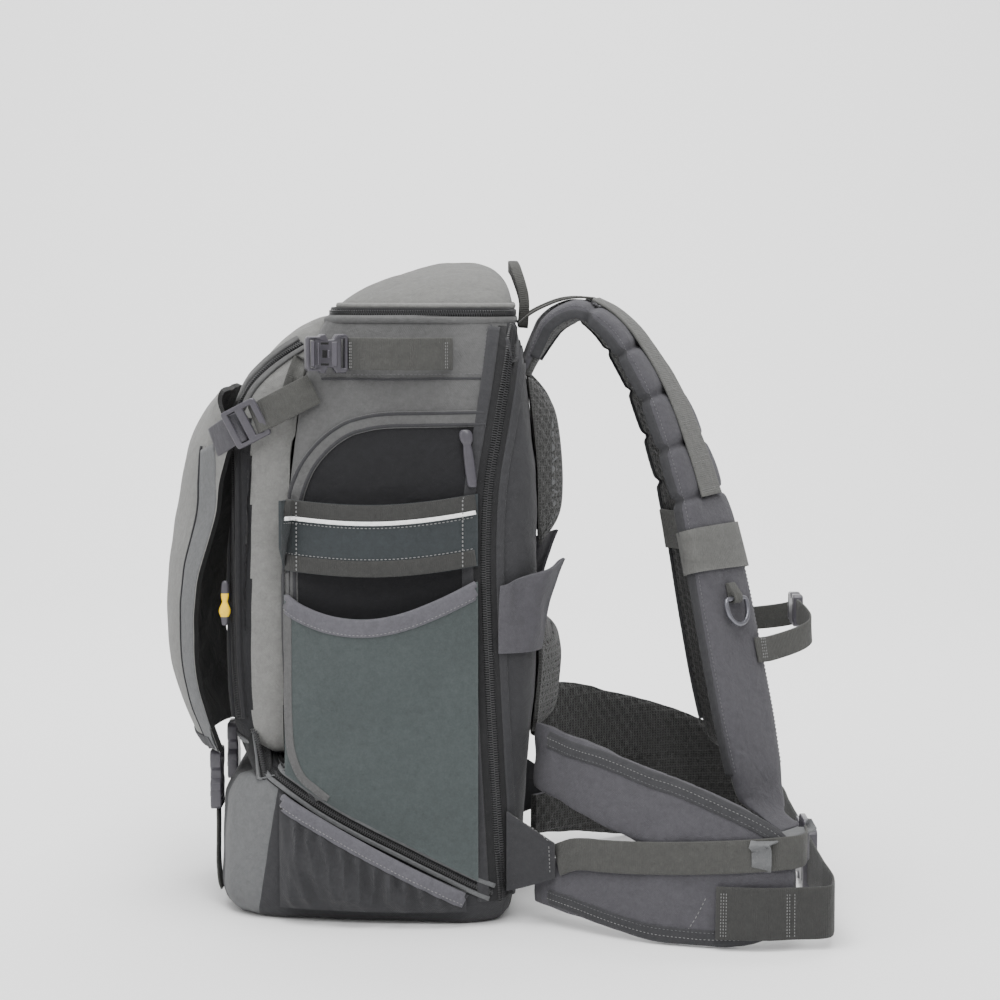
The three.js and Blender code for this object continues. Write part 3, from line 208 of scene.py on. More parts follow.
SLOTS = {
    "light_fabric": [LIGHT, LID, MIDDLE, REFLECTIVE],
    "dark_fabric": [DARK, PAINTED_SHADE, STRAP, BINDING, EDGE, LINING_AND_PAINTED_SHADOW, THREAD, DULL_THREAD],
    "stretch_fabric": [STRETCH, BAND, TAPE],
    "webbing": [WEB, WEB_DARK, WEB_LIGHT, ZIP_TAPE],
    "air_mesh": [MESH],
    "buckle_plastic": [PLASTIC, COIL],
    "yellow_plastic": [YELLOW],
    "ring_metal": [METAL],
}
SLOT_OF = {m.name: slot for slot, materials in SLOTS.items() for m in materials}

# Meshes


def new_object(name, points, faces, uvs=None, materials=(), indices=None, smooth=True):
    """An object from points in mm and faces. uvs holds one pair in metres for each face corner, in order."""
    mesh = bpy.data.meshes.new(name)
    mesh.from_pydata((np.asarray(points) * MM).tolist(), [], [list(map(int, f)) for f in faces])
    for m in materials:
        mesh.materials.append(m)
    if indices is not None:
        mesh.polygons.foreach_set("material_index", np.asarray(indices, np.int32))
    layer = mesh.uv_layers.new(name=UV)
    if uvs is not None:
        layer.uv.foreach_set("vector", (np.asarray(uvs, np.float32) * MM).ravel())
    if smooth:
        mesh.shade_smooth()
    mesh.update()
    obj = bpy.data.objects.new(name, mesh)
    bpy.context.scene.collection.objects.link(obj)
    if uvs is None:
        box_uv(obj)
    return obj


def box_uv(obj):
    """Lays the cloth's grain on a mesh from the nearest of three directions."""
    mesh = obj.data
    layer = mesh.uv_layers.get(UV) or mesh.uv_layers.new(name=UV)
    count = len(mesh.loops)
    vertex = np.empty(count, np.int32)
    mesh.loops.foreach_get("vertex_index", vertex)
    co = np.empty(len(mesh.vertices) * 3, np.float32)
    mesh.vertices.foreach_get("co", co)
    co = co.reshape(-1, 3)[vertex]
    normal = np.empty(len(mesh.polygons) * 3, np.float32)
    mesh.polygons.foreach_get("normal", normal)
    sizes = np.empty(len(mesh.polygons), np.int32)
    mesh.polygons.foreach_get("loop_total", sizes)
    axis = np.repeat(np.abs(normal.reshape(-1, 3)).argmax(1), sizes)
    u = np.where(axis == 0, co[:, 1], co[:, 0])
    v = np.where(axis == 2, co[:, 1], co[:, 2])
    layer.uv.foreach_set("vector", np.stack([u, v], 1).astype(np.float32).ravel())


def piece(obj, body="pack", stands_for=(), soft=None, slot=None):
    """Enters a finished piece: its body, the CAD nodes it replaces, its slot and its softness."""
    PIECES.append({"obj": obj, "body": body, "nodes": list(stands_for), "soft": soft, "slot": slot})
    return obj


def outward(points, faces):
    """Faces turned so that the solid's volume is positive."""
    points = np.asarray(points, float)
    volume = 0.0
    for face in faces:
        for b, c in zip(face[1:], face[2:]):
            volume += points[face[0]] @ np.cross(points[b], points[c])
    return faces if volume > 0 else [list(f)[::-1] for f in faces]


def loft(name, rings, materials, indices=None, ends=True):
    """A closed skin over rings of points, with flat ends. Its grain runs along the rings' line."""
    rings = np.asarray(rings, float)
    rows, cols = rings.shape[:2]
    points = rings.reshape(-1, 3)
    middle = rings.mean(1)
    along = np.concatenate([[0], np.cumsum(np.linalg.norm(np.diff(middle, axis=0), axis=1))])
    widest = rings[rows // 2]
    step = np.linalg.norm(np.roll(widest, -1, 0) - widest, axis=1)
    across = np.concatenate([[0], np.cumsum(step)])
    i, j = np.meshgrid(np.arange(rows - 1), np.arange(cols), indexing="ij")
    i, j = i.ravel(), j.ravel()
    after = (j + 1) % cols
    quads = np.stack([i * cols + j, i * cols + after, (i + 1) * cols + after, (i + 1) * cols + j], 1)
    uv = np.stack([
        np.stack([along[i], across[j]], 1), np.stack([along[i], across[j + 1]], 1),
        np.stack([along[i + 1], across[j + 1]], 1), np.stack([along[i + 1], across[j]], 1),
    ], 1)
    tri = points[quads]
    volume = np.einsum("ij,ij->i", tri[:, 0], np.cross(tri[:, 1], tri[:, 2])).sum()
    volume += np.einsum("ij,ij->i", tri[:, 0], np.cross(tri[:, 2], tri[:, 3])).sum()
    turned = volume < 0
    if turned:
        quads, uv = quads[:, ::-1], uv[:, ::-1]
    faces = quads.tolist()
    corners = uv.reshape(-1, 2).tolist()
    index = list(np.zeros(len(faces), int) if indices is None else indices)
    if ends:
        first, last = list(range(cols)), list(range((rows - 1) * cols, rows * cols))
        for ring, flip in ((first, not turned), (last, turned)):
            faces.append(ring[::-1] if flip else ring)
            corners += [[0.0, 0.0]] * cols
            index.append(index[0])
    return new_object(name, points, faces, corners, materials, index)


def even(dense, step):
    """Points at even steps along a fine line."""
    gaps = np.linalg.norm(np.diff(dense, axis=0), axis=1)
    along = np.concatenate([[0], np.cumsum(gaps)])
    at = np.linspace(0, along[-1], max(2, int(round(along[-1] / step))) + 1)
    return np.stack([np.interp(at, along, dense[:, k]) for k in range(dense.shape[1])], 1)


def curve(points, step):
    """Points at even steps along a smooth curve through the given ones."""
    p = np.asarray(points, float)
    held = np.vstack([2 * p[0] - p[1], p, 2 * p[-1] - p[-2]])
    t = np.linspace(0, 1, 12, endpoint=False)[:, None]
    parts = []
    for a, b, c, d in zip(held, held[1:], held[2:], held[3:]):
        square = (2 * a - 5 * b + 4 * c - d) * t**2
        cube = (3 * b - a - 3 * c + d) * t**3
        parts.append(0.5 * (2 * b + (c - a) * t + square + cube))
    return even(np.vstack(parts + [p[-1:]]), step)


def frames(line):
    """The unit direction of a line at each of its points."""
    return unit(np.gradient(line, axis=0))


class Surface:
    """The outside of some objects, met by rays. Points are in mm, and sides say where rays start."""

    SIDES = {
        "right": (lambda u, v: (u, -600.0, v), (0, 1, 0)),
        "front": (lambda u, v: (-600.0, u, v), (1, 0, 0)),
    }

    def __init__(self, *objects):
        points, faces, shift = [], [], 0
        for obj in objects:
            mesh = obj.data
            points += [v.co / MM for v in mesh.vertices]
            faces += [[shift + i for i in p.vertices] for p in mesh.polygons]
            shift = len(points)
        self.tree = BVHTree.FromPolygons(points, faces)

    def cast(self, origin, direction):
        place, normal, _, _ = self.tree.ray_cast(Vector(origin), Vector(direction))
        if place is None:
            place, normal, _, _ = self.tree.find_nearest(Vector(origin) + 450 * Vector(direction))
        if normal.dot(Vector(direction)) > 0:
            normal = -normal
        return np.array(place), np.array(normal)

    def at(self, u, v, side="right"):
        start, direction = self.SIDES[side]
        return self.cast(start(u, v), direction)


def band_section(width, thick, sink=0.6):
    """A flat band's section with rounded edges: places across it and heights."""
    h, r = width / 2, min(thick * 0.6, width * 0.2)
    return [
        (-h, -sink), (-h, 0.5 * thick), (-h + 0.3 * r, 0.85 * thick), (-h + r, thick), (-h * 0.4, thick),
        (h * 0.4, thick), (h - r, thick), (h - 0.3 * r, 0.85 * thick), (h, 0.5 * thick), (h, -sink),
    ]


def round_section(radius, lift=0.3, sides=10):
    turns = [2 * math.pi * k / sides for k in range(sides)]
    return [(radius * math.cos(a), radius * (lift + math.sin(a))) for a in turns]


def laid(name, line, section, surface, material, side="right", step=3.0):
    """A band laid on a surface along a line of its two flat coordinates, following the surface across too."""
    flat = curve(line, step)
    way = frames(flat)
    across = np.stack([-way[:, 1], way[:, 0]], 1)
    rings = []
    for p, a in zip(flat, across):
        ring = []
        for offset, height in section:
            place, normal = surface.at(*(p + a * offset), side)
            ring.append(place + normal * height)
        rings.append(ring)
    return loft(name, rings, [material])


# One stitch: its points as shares of its half length, width and height, and its faces.
STITCH_POINTS = [
    (-1, 0, 0), (-0.6, 1, 0), (-0.6, 0, 1), (-0.6, -1, 0),
    (0.6, 1, 0), (0.6, 0, 1), (0.6, -1, 0), (1, 0, 0),
]
STITCH_FACES = [
    (0, 1, 2), (0, 2, 3), (1, 4, 5, 2), (2, 5, 6, 3), (4, 7, 5), (5, 7, 6),
    (0, 3, 1), (1, 3, 6, 4), (4, 6, 7),
]
BOX_CORNERS = [(a, b, c) for a in (-1, 1) for b in (-1, 1) for c in (-1, 1)]
BOX_FACES = [(0, 1, 3, 2), (4, 6, 7, 5), (0, 4, 5, 1), (2, 3, 7, 6), (0, 2, 6, 4), (1, 5, 7, 3)]


def dashes(name, line, normals, material, pitch=3.2, share=0.66, radius=0.3):
    """Stitches along a line of points: short raised threads."""
    line, normals = np.asarray(line, float), np.asarray(normals, float)
    both = even(np.hstack([line, normals * 1e-3]), pitch)
    at, up = both[:, :3], unit(both[:, 3:])
    way = frames(at)
    side = unit(np.cross(way, up))
    points, faces = [], []
    half = pitch * share / 2
    for p, w, s, u in zip(at[:-1], way, side, up):
        shift = len(points)
        for a, b, c in STITCH_POINTS:
            points.append(p + w * (a * half) + s * (b * radius * 1.2) + u * (c * radius * 1.6 - 0.1))
        faces += [[shift + k for k in q] for q in STITCH_FACES]
    return new_object(name, points, faces, None, [material], smooth=False)


def on_surface(line, surface, side="right", step=2.0, offset=0.0, lift=0.0):
    """A line's points and normals on a surface. offset shifts it to its left."""
    flat = curve(line, step)
    way = frames(flat)
    flat = flat + np.stack([-way[:, 1], way[:, 0]], 1) * offset
    hits = [surface.at(*p, side) for p in flat]
    normals = np.array([n for _, n in hits])
    return np.array([p for p, _ in hits]) + normals * lift, normals


def stitched(name, line, surface, side="right", offset=0.0, lift=0.1, material=None, **sizes):
    places, normals = on_surface(line, surface, side, offset=offset, lift=lift)
    return dashes(name, places, normals, material or THREAD, **sizes)


def teeth(name, places, normals, pitch=1.9, reach=2.3):
    """A zip's coil: teeth from both tapes that meet in the middle."""
    both = even(np.hstack([places, np.asarray(normals) * 1e-3]), pitch)
    at, up = both[:, :3], unit(both[:, 3:])
    way = frames(at)
    side = unit(np.cross(way, up))
    points, faces = [], []
    corners = [(a, (b + 1) // 2, (c + 1) // 2) for a, b, c in BOX_CORNERS]
    for p, w, s, u in zip(at, way, side, up):
        for sign in (-1, 1):
            shift = len(points)
            middle = p + w * (pitch * 0.25 * sign)
            for a, b, c in corners:
                narrow = 0.75 if c else 1.0
                out = mix(-0.25, reach, b) * sign
                place = middle + w * (a * pitch * 0.3 * narrow) + s * (out * narrow)
                points.append(place + u * mix(-0.2, 1.1, c))
            faces += [[shift + i for i in q[::sign]] for q in BOX_FACES]
    return new_object(name, points, faces, None, [COIL], smooth=False)


def joined(name, objects):
    """Several objects as one piece, each keeping its material."""
    mesh = bpy.data.meshes.new(name)
    work = bmesh.new()
    materials = []
    for obj in objects:
        for m in obj.data.materials:
            if m not in materials:
                materials.append(m)
    for obj in objects:
        before = len(work.faces)
        own = [materials.index(m) for m in obj.data.materials]
        work.from_mesh(obj.data)
        work.faces.ensure_lookup_table()
        for face in work.faces[before:]:
            face.material_index = own[face.material_index] if own else 0
    work.to_mesh(mesh)
    work.free()
    for m in materials:
        mesh.materials.append(m)
    for obj in objects:
        bpy.data.objects.remove(obj)
    made = bpy.data.objects.new(name, mesh)
    bpy.context.scene.collection.objects.link(made)
    return made


ZIP_STEP = 2.5


def zipper(name, line, surface, tape, lips, lip_material):
    """A coil zip laid on a surface: its tape, two raised lips of cloth and the coil."""
    parts = [laid(name + "_tape", line, band_section(tape, 0.8), surface, ZIP_TAPE, step=ZIP_STEP)]
    for k, sign in enumerate((-1, 1)):
        section = [(a + sign * lips, b) for a, b in band_section(3.6, 2.4)]
        parts.append(laid(f"{name}_lip{k}", line, section, surface, lip_material, step=ZIP_STEP))
    places, normals = on_surface(line, surface, lift=0.8)
    parts.append(teeth(name + "_coil", places, normals))
    return joined(name, parts)


# Copies of CAD solids


def cad_copy(node, name, quads=True):
    """A new object with a CAD node's mesh, its corners merged and its triangles paired."""
    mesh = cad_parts[node].data.copy()
    mesh.name = name
    mesh.materials.clear()
    work = bmesh.new()
    work.from_mesh(mesh)
    bmesh.ops.remove_doubles(work, verts=work.verts, dist=2e-6)
    if quads:
        limits = {"angle_face_threshold": math.radians(35), "angle_shape_threshold": math.radians(50)}
        bmesh.ops.join_triangles(work, faces=work.faces, **limits)
    bmesh.ops.recalc_face_normals(work, faces=work.faces)
    work.to_mesh(mesh)
    work.free()
    for layer in list(mesh.uv_layers):
        mesh.uv_layers.remove(layer)
    for attribute in ("custom_normal", "sharp_edge", "sharp_face"):
        if attribute in mesh.attributes:
            mesh.attributes.remove(mesh.attributes[attribute])
    obj = bpy.data.objects.new(name, mesh)
    bpy.context.scene.collection.objects.link(obj)
    return obj


def settle(obj):
    """Applies an object's modifiers to its mesh."""
    graph = bpy.context.evaluated_depsgraph_get()
    mesh = bpy.data.meshes.new_from_object(obj.evaluated_get(graph))
    obj.modifiers.clear()
    obj.data = mesh
    return obj


def modify(obj, kind, **settings):
    modifier = obj.modifiers.new(kind.lower(), kind)
    for key, value in settings.items():
        setattr(modifier, key, value)
    return obj


def subdivided(obj, levels, crease_angle=50, crease=1.0):
    """Smooth subdivision that keeps the edges sharper than an angle."""
    work = bmesh.new()
    work.from_mesh(obj.data)
    layer = work.edges.layers.float.get("crease_edge") or work.edges.layers.float.new("crease_edge")
    for edge in work.edges:
        if len(edge.link_faces) == 2 and edge.calc_face_angle(0) > math.radians(crease_angle):
            edge[layer] = crease
    work.to_mesh(obj.data)
    work.free()
    modify(obj, "SUBSURF", levels=levels, render_levels=levels)
    return settle(obj)


def coordinates(obj):
    co = np.empty(len(obj.data.vertices) * 3, np.float32)
    obj.data.vertices.foreach_get("co", co)
    return co.reshape(-1, 3).astype(float) / MM


def normals_of(obj):
    n = np.empty(len(obj.data.vertices) * 3, np.float32)
    obj.data.vertices.foreach_get("normal", n)
    return n.reshape(-1, 3).astype(float)


def move_points(obj, points):
    obj.data.vertices.foreach_set("co", (np.asarray(points) * MM).astype(np.float32).ravel())
    obj.data.update()
    return obj


def dress(obj, materials, pick=None, smooth=35):
    """Gives an object its materials. pick tells the index from each face's middle and normal."""
    obj.data.materials.clear()
    for m in materials:
        obj.data.materials.append(m)
    if pick is not None:
        for polygon in obj.data.polygons:
            polygon.material_index = pick(np.array(polygon.center) / MM, np.array(polygon.normal))
    obj.data.shade_smooth()
    if smooth:
        obj.data.set_sharp_from_angle(angle=math.radians(smooth))
    box_uv(obj)
    return obj


# The body

# Seams and zips on the right side, as X and Z in mm.
MAIN_ZIP = [
    (104, 468), (102, 450), (99, 428), (93, 389), (86, 343),
    (84, 289), (86, 219), (90, 132), (94, 60), (96, 20),
]
RIM_HEIGHT = 478  # of the body's open rim, which the top cover lies on
SHARES = [k / 16 for k in range(17)]
BAND_HEM = 21.5
FRONT_SLOPE = [(-112, 405), (-103, 421), (-91, 434), (-76, 446), (-62, 455)]
FRONT_UPRIGHT = [(-112, 158), (-115, 200), (-116, 260), (-116, 320), (-117, 372)]
BUCKLE_TAIL = [(-60, 443), (-65, 431), (-70, 415), (-74, 400)]
SIDE_SEAMS = {
    "upper": [(-44, 428), (10, 428), (84, 429)],
    "rear": [(83, 399), (84, 428), (87, 456), (88, 470)],
}
POCKET_RIM = [(-70.6, 252), (-71, 200), (-70.4, 160), (-68.4, 136), (-61, 117), (-50, 107), (-40, 99)]
# The flap's right and lower edges, as Y and Z in mm.
FLAP_SIDE = [
    (-100, 372), (-104, 360), (-107, 345), (-111, 325), (-113, 287), (-113, 239),
    (-112, 199), (-110, 167), (-105, 143), (-97, 129),
]
FLAP_LOW = [(-96, 131), (-60, 129), (0, 128.5), (60, 129), (96, 131)]
BASE_ZIP = [(-118, 137), (-98, 129), (-79, 115), (-38, 88), (20, 59), (66, 37), (88, 27)]
SIDE_TRIM = [
    (84, 398), (40, 397), (6, 396), (-12, 393), (-26, 388), (-42, 376), (-56, 358),
    (-65, 333), (-69, 300), (-69.5, 257), (-68, 200), (-63, 145), (-55, 116), (-46, 98),
]
CORNER_SEAM = [
    (-97, 0), (-80, 100), (-78, 112), (-62, 128), (-62, 333), (-56, 360), (-47, 420), (-38, 455), (-27, 478),
]
# Columns of the body's mesh from the middle of the back to the middle of the front, between its seams.
BACK, STRIP, SIDE, CORNER, FRONT = 20, 14, 60, 16, 24
CORNERS = np.cumsum([BACK, STRIP, SIDE, CORNER, FRONT])
SHELF = 118


def by_height(line, z):
    """The X of a seam at a height."""
    rising = sorted((p[1], p[0]) for p in line)
    return float(np.interp(z, [p[0] for p in rising], [p[1] for p in rising]))


def half_ring(solid, z, centre):
    """The body's right half at a height, with a point on each seam between panels."""
    found = []
    for k in range(361):
        a = math.radians(-k / 2)
        way = np.array([math.cos(a), math.sin(a), 0.0])
        found.append(solid.cast((centre + 600 * way[0], 600 * way[1], z), -way)[0])
    ring = np.array(found)
    ring[0, 1] = ring[-1, 1] = 0
    gaps = np.linalg.norm(np.diff(ring, axis=0), axis=1)
    along = np.concatenate([[0], np.cumsum(gaps)])
    seams = [by_height(MAIN_ZIP, z) - 2, by_height(CORNER_SEAM, z)]
    x, y = ring[:, 0], ring[:, 1]
    order = np.arange(len(ring))
    places = [0, int(np.argmax(y < -112))]
    for seam in seams:
        places.append(int(np.argmax((x < seam) & (order > places[-1]))))
    places.append(int(np.argmax((y > -96) & (order > places[-1]))))
    places.append(len(ring) - 1)
    at = []
    for a, b, count in zip(places, places[1:], (BACK, STRIP, SIDE, CORNER, FRONT)):
        at.append(np.linspace(along[a], along[b], count, endpoint=False))
    at = np.concatenate(at + [along[-1:]])
    half = np.stack([np.interp(at, along, ring[:, k]) for k in range(3)], 1)
    half[:, 2] = z
    return half


def body_panel(column, x, z):
    """Which cloth covers the body at a place: 0 lighter, 1 middle, 2 dark, 3 painted shade, 4 light."""
    part = int(np.searchsorted(CORNERS, column, side="right"))
    # Painted shade on the body's back.
    if part == 0:
        return 3
    if part == 1:
        return 2
    if part == 2:
        if z < SHELF and z < by_height([(q, p) for p, q in BASE_ZIP], x):
            return 2
        # Painted shade: the recess behind the side pocket and band, inside the trim, takes the darkest cloth.
        return 3 if z < 397 and x > by_height(SIDE_TRIM[2:], z) else 1
    if part == 3:
        return 0 if z < SHELF else 1
    if z > 396:
        return 4
    return 2 if z < SHELF else 1


def body():
    """The body's cloth, with its panels' borders on columns of the mesh."""
    fine = np.concatenate([
        np.arange(0.4, 20, 2.2), np.arange(20, 94, 4.0), [95, 97, 101, 105], np.arange(108, 126, 1.2),
        np.arange(126, RIM_HEIGHT, 4.0), [RIM_HEIGHT - 0.2],
    ])
    solid = Surface(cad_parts["base_shell"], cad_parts["main_shell"])
    rings = []
    for z in fine:
        half = half_ring(solid, z, 20.0)
        rings.append(np.vstack([half, half[-2:0:-1] * [1, -1, 1]]))
    rings = np.array(rings)
    for _ in range(4):
        rings = 0.5 * rings + 0.25 * (np.roll(rings, 1, 1) + np.roll(rings, -1, 1))
    for _ in range(3):
        rings[1:-1] = 0.5 * rings[1:-1] + 0.25 * (rings[2:] + rings[:-2])
    flat = rings.reshape(-1, 3)
    side = np.gradient(rings, axis=1)
    up = np.gradient(rings, axis=0)
    normal = unit(np.cross(up, side)).reshape(-1, 3)
    out = flat - np.array([20.0, 0, 0])
    out[:, 2] = 0
    normal *= np.sign((normal * out).sum(1))[:, None]
    dents = ripples(flat, (60.0, 3.0, 1.6), (24.0, 9.0, 0.7)) - 0.9
    rings = (flat + normal * np.minimum(dents, 0.3)[:, None]).reshape(rings.shape)
    count = rings.shape[1]
    index = []
    for i in range(len(rings) - 1):
        z = (rings[i, 0, 2] + rings[i + 1, 0, 2]) / 2
        for j in range(count):
            index.append(body_panel(min(j, count - 1 - j), rings[i, j, 0], z))
    return loft("body", rings, [EDGE, MIDDLE, DARK, PAINTED_SHADE, LIGHT], index)


def soft_copy(node, name, levels, materials, pick=None, bumps=None):
    """A CAD sheet or pad made smooth, moved by bumps(points, normals) and dressed."""
    made = subdivided(cad_copy(node, name), levels)
    if bumps is not None:
        points, normals = coordinates(made), normals_of(made)
        move_points(made, bumps(points, normals))
    return dress(made, materials, pick)


def hollow(points, pitch):
    """Depth from 0 to 1 of round dimples in rows, over two flat coordinates."""
    u, v = points[:, 0] / pitch, points[:, 1] / (pitch * 0.87)
    row = np.round(v)
    u = u + 0.5 * (row % 2)
    distance = np.hypot(u - np.round(u), (v - row) * 0.87)
    return np.clip(1 - distance / 0.42, 0, 1) ** 0.7


# Straps made from a CAD ribbon's own rings


def merged(node):
    """A CAD node's points in mm without doubles, and its triangles."""
    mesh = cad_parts[node].data
    mesh.calc_loop_triangles()
    co = coordinates(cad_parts[node])
    keys, index = np.unique(np.round(co / 0.003).astype(np.int64), axis=0, return_inverse=True)
    points = np.zeros((len(keys), 3))
    points[index.ravel()] = co
    triangles = [tuple(index.ravel()[i] for i in t.vertices) for t in mesh.loop_triangles]
    return points, [t for t in triangles if len(set(t)) == 3]


def ribbon_rings(node):
    """The rings of four points of a ribbon, from one flat end to the other."""
    points, triangles = merged(node)
    near = {i: set() for i in range(len(points))}
    sides = {}
    normal = []
    for k, t in enumerate(triangles):
        a, b, c = (points[i] for i in t)
        normal.append(unit(np.cross(b - a, c - a)))
        for i, j in ((0, 1), (1, 2), (2, 0)):
            near[t[i]].add(t[j])
            near[t[j]].add(t[i])
            sides.setdefault(frozenset((t[i], t[j])), []).append(k)
    cap = None
    for edge, pair in sides.items():
        if len(pair) != 2 or normal[pair[0]] @ normal[pair[1]] < 0.999:
            continue
        corners = set(triangles[pair[0]]) | set(triangles[pair[1]])
        around = [zip(triangles[k], triangles[k][1:] + triangles[k][:1]) for k in pair]
        rim = [e for pairs in around for e in map(frozenset, pairs) if e != edge]
        if all(normal[sides[e][0]] @ normal[sides[e][1]] < 0.6 for e in rim if len(sides[e]) == 2):
            cap = sorted(corners)
            break
    rings = [order_first(points, cap)]
    seen = set(cap)
    while True:
        after = sorted({j for i in rings[-1] for j in near[i]} - seen)
        if len(after) < 4:
            break
        seen |= set(after)
        rings.append(matched(points, rings[-1], after[:4]))
    return np.array([[points[i] for i in ring] for ring in rings])


def order_first(points, cap):
    """An end's corners as: first, across its thickness, across its width, opposite."""
    first = cap[0]
    rest = sorted(cap[1:], key=lambda i: np.linalg.norm(points[i] - points[first]))
    return [first, rest[0], rest[1], rest[2]]


def matched(points, ring, after):
    """The next ring's points in the order that lies nearest to this ring's."""
    best = min(
        itertools.permutations(after),
        key=lambda trial: sum(np.sum((points[a] - points[b]) ** 2) for a, b in zip(ring, trial)),
    )
    return list(best)


def ribbon_path(node, step=2.0):
    """A ribbon's middle line, and the directions of its width and its outer face, at even steps."""
    rings = ribbon_rings(node)
    wide = ((rings[:, 2] - rings[:, 0]) + (rings[:, 3] - rings[:, 1])) / 2
    thick = ((rings[:, 1] - rings[:, 0]) + (rings[:, 3] - rings[:, 2])) / 2
    both = curve(np.hstack([rings.mean(1), wide, thick]), step)
    return both[:, :3], both[:, 3:6], both[:, 6:9]


# A webbing's section, as shares of its half width and half thickness.
WEB_SECTION = [
    (-1, -0.4), (-1, 0.4), (-0.97, 0.85), (-0.9, 1), (-0.45, 1), (0, 1), (0.45, 1), (0.9, 1), (0.97, 0.85),
    (1, 0.4), (1, -0.4), (0.97, -0.85), (0.9, -1), (0.45, -1), (0, -1), (-0.45, -1), (-0.9, -1),
    (-0.97, -0.85),
]


def ribbon(node, name, material, sway=0.5, grow=0.0):
    """Webbing in a CAD ribbon's place, with thick selvedges and a slight waver. Returns it and its path."""
    middle, wide, thick = ribbon_path(node)
    inside = np.sin(np.linspace(0, math.pi, len(middle)))[:, None]
    up = unit(thick)
    middle = middle + up * hills(middle, 30.0, 1.0)[:, None] * sway * inside
    rings = []
    for m, w, t in zip(middle, wide / 2, thick / 2):
        t = t + unit(t) * grow
        rings.append([m + w * a + t * b for a, b in WEB_SECTION])
    made = loft(name, rings, [material])
    return made, (middle, unit(wide), up, np.linalg.norm(wide, axis=1), np.linalg.norm(thick, axis=1))


def cross_stitches(name, path, at, rows=2, gap=2.2, outer=1):
    """Rows of stitches across a ribbon at a share of its length, on its visible face."""
    middle, wide, up, width, thick = path
    parts = []
    for k in range(rows):
        i = int(np.clip(at * (len(middle) - 1) + k * gap / 2.0, 0, len(middle) - 1))
        lift = up[i] * outer * (thick[i] / 2 + 0.15)
        half = wide[i] * (width[i] * 0.42)
        line = np.array([middle[i] + lift - half, middle[i] + lift, middle[i] + lift + half])
        line = even(line, 1.0)
        normals = np.tile(up[i] * outer, (len(line), 1))
        parts.append(dashes(f"{name}_{k}", line, normals, THREAD, pitch=2.4))
    return joined(name, parts)


def facing(path, direction):
    """1 where a ribbon's third direction points along a given one, and otherwise -1."""
    return 1 if float((path[2] @ np.asarray(direction, float)).mean()) > 0 else -1


# Shoulder straps

OUTER_POINTS = 30  # of a strap's section: those on its outside come first, then the mesh side's
MESH_POINTS = 38


def strap_sections(node):
    """The strap's sections from its upper end: middle, across, outward, and both sizes."""
    points, triangles = merged(node)
    near = {i: set() for i in range(len(points))}
    for t in triangles:
        for i, j in ((0, 1), (1, 2), (2, 0)):
            near[t[i]].add(t[j])
            near[t[j]].add(t[i])
    ends = [i for i in near if len(near[i]) == 9]
    first = max(ends, key=lambda i: points[i][2])
    seen, ring, found = {first}, sorted(near[first]), []
    while len(ring) == 9:
        seen |= set(ring)
        found.append(np.array([points[i] for i in ring]))
        ring = sorted({j for i in ring for j in near[i]} - seen)
    rows = []
    across, out = np.array([0.0, 1.0, 0.0]), np.array([0.0, 0.0, 1.0])
    for r in found:
        flat = r - r.mean(0)
        _, _, axes = np.linalg.svd(flat)
        across = axes[0] * np.sign(axes[0] @ across)
        out = axes[1] * np.sign(axes[1] @ out)
        u, v = flat @ across, flat @ out
        middle = r.mean(0) + across * (u.max() + u.min()) / 2 + out * (v.max() + v.min()) / 2
        rows.append(np.concatenate([middle, across, out, [np.ptp(u) / 2, np.ptp(v) / 2]]))
    return np.array(rows)


def shoulder_strap():
    """The quilted strap: puffed cloth outside, a bound edge round it, and dimpled mesh inside."""
    sections = strap_sections("shoulder_strap_right")
    root = sections[0].copy()
    root[:3] -= unit(sections[1][:3] - sections[0][:3]) * 11
    rows = curve(np.vstack([root, sections]), 1.0)
    gaps = np.linalg.norm(np.diff(rows[:, :3], axis=0), axis=1)
    length = np.concatenate([[0], np.cumsum(gaps)])
    steps = np.arange(0, length[-1], 2.2)
    rows = np.stack([np.interp(steps, length, rows[:, k]) for k in range(rows.shape[1])], 1)
    mesh_turns = math.pi + np.linspace(0, math.pi, MESH_POINTS + 2)[1:-1]
    turns = np.concatenate([np.linspace(0, math.pi, OUTER_POINTS), mesh_turns])
    pitch, first = 43.0, 83.0
    seams = np.arange(first, 335, pitch)
    rings, index = [], []
    for s, row in zip(steps, rows):
        m, a, o, w, t = row[:3], unit(row[3:6]), unit(row[6:9]), row[9], row[10]
        fade = np.clip((t - 3) / 4, 0, 1)
        pinch = fade * math.exp(-((np.abs(seams - s).min() / 3.0) ** 2))
        puffed = first < s < seams[-1]
        swell = 1 + (0.14 * fade * math.sin(math.pi * ((s - first) % pitch) / pitch) if puffed else 0.0)
        ring = []
        for angle in turns:
            u, v = math.cos(angle), math.sin(angle)
            outer = v > 0
            x = np.sign(u) * abs(u) ** 0.55
            y = (abs(v) ** (0.75 if outer else 0.6)) * (1 if outer else -1)
            height = t * y
            if outer:
                height = height * swell - pinch * 3.4 * min(1, v * 1.6)
            else:
                dimple = hollow(np.array([[s, x * w]]), 7.5)[0]
                height += fade * dimple * 1.6 * min(1, -v * 1.8) + pinch * 1.6
            ring.append(m + a * (x * (w - 1.6 * fade + 26 * (swell - 1) * 0.5 - 3.0 * pinch)) + o * height)
        rings.append(ring)
    count = len(turns)
    for i in range(len(rings) - 1):
        for j in range(count):
            index.append(1 if j >= OUTER_POINTS and rows[i][10] > 3 else 0)
    made = loft("shoulder_strap_cloth_right", rings, [STRAP, MESH], index)
    return made, steps, rows, np.array(rings)


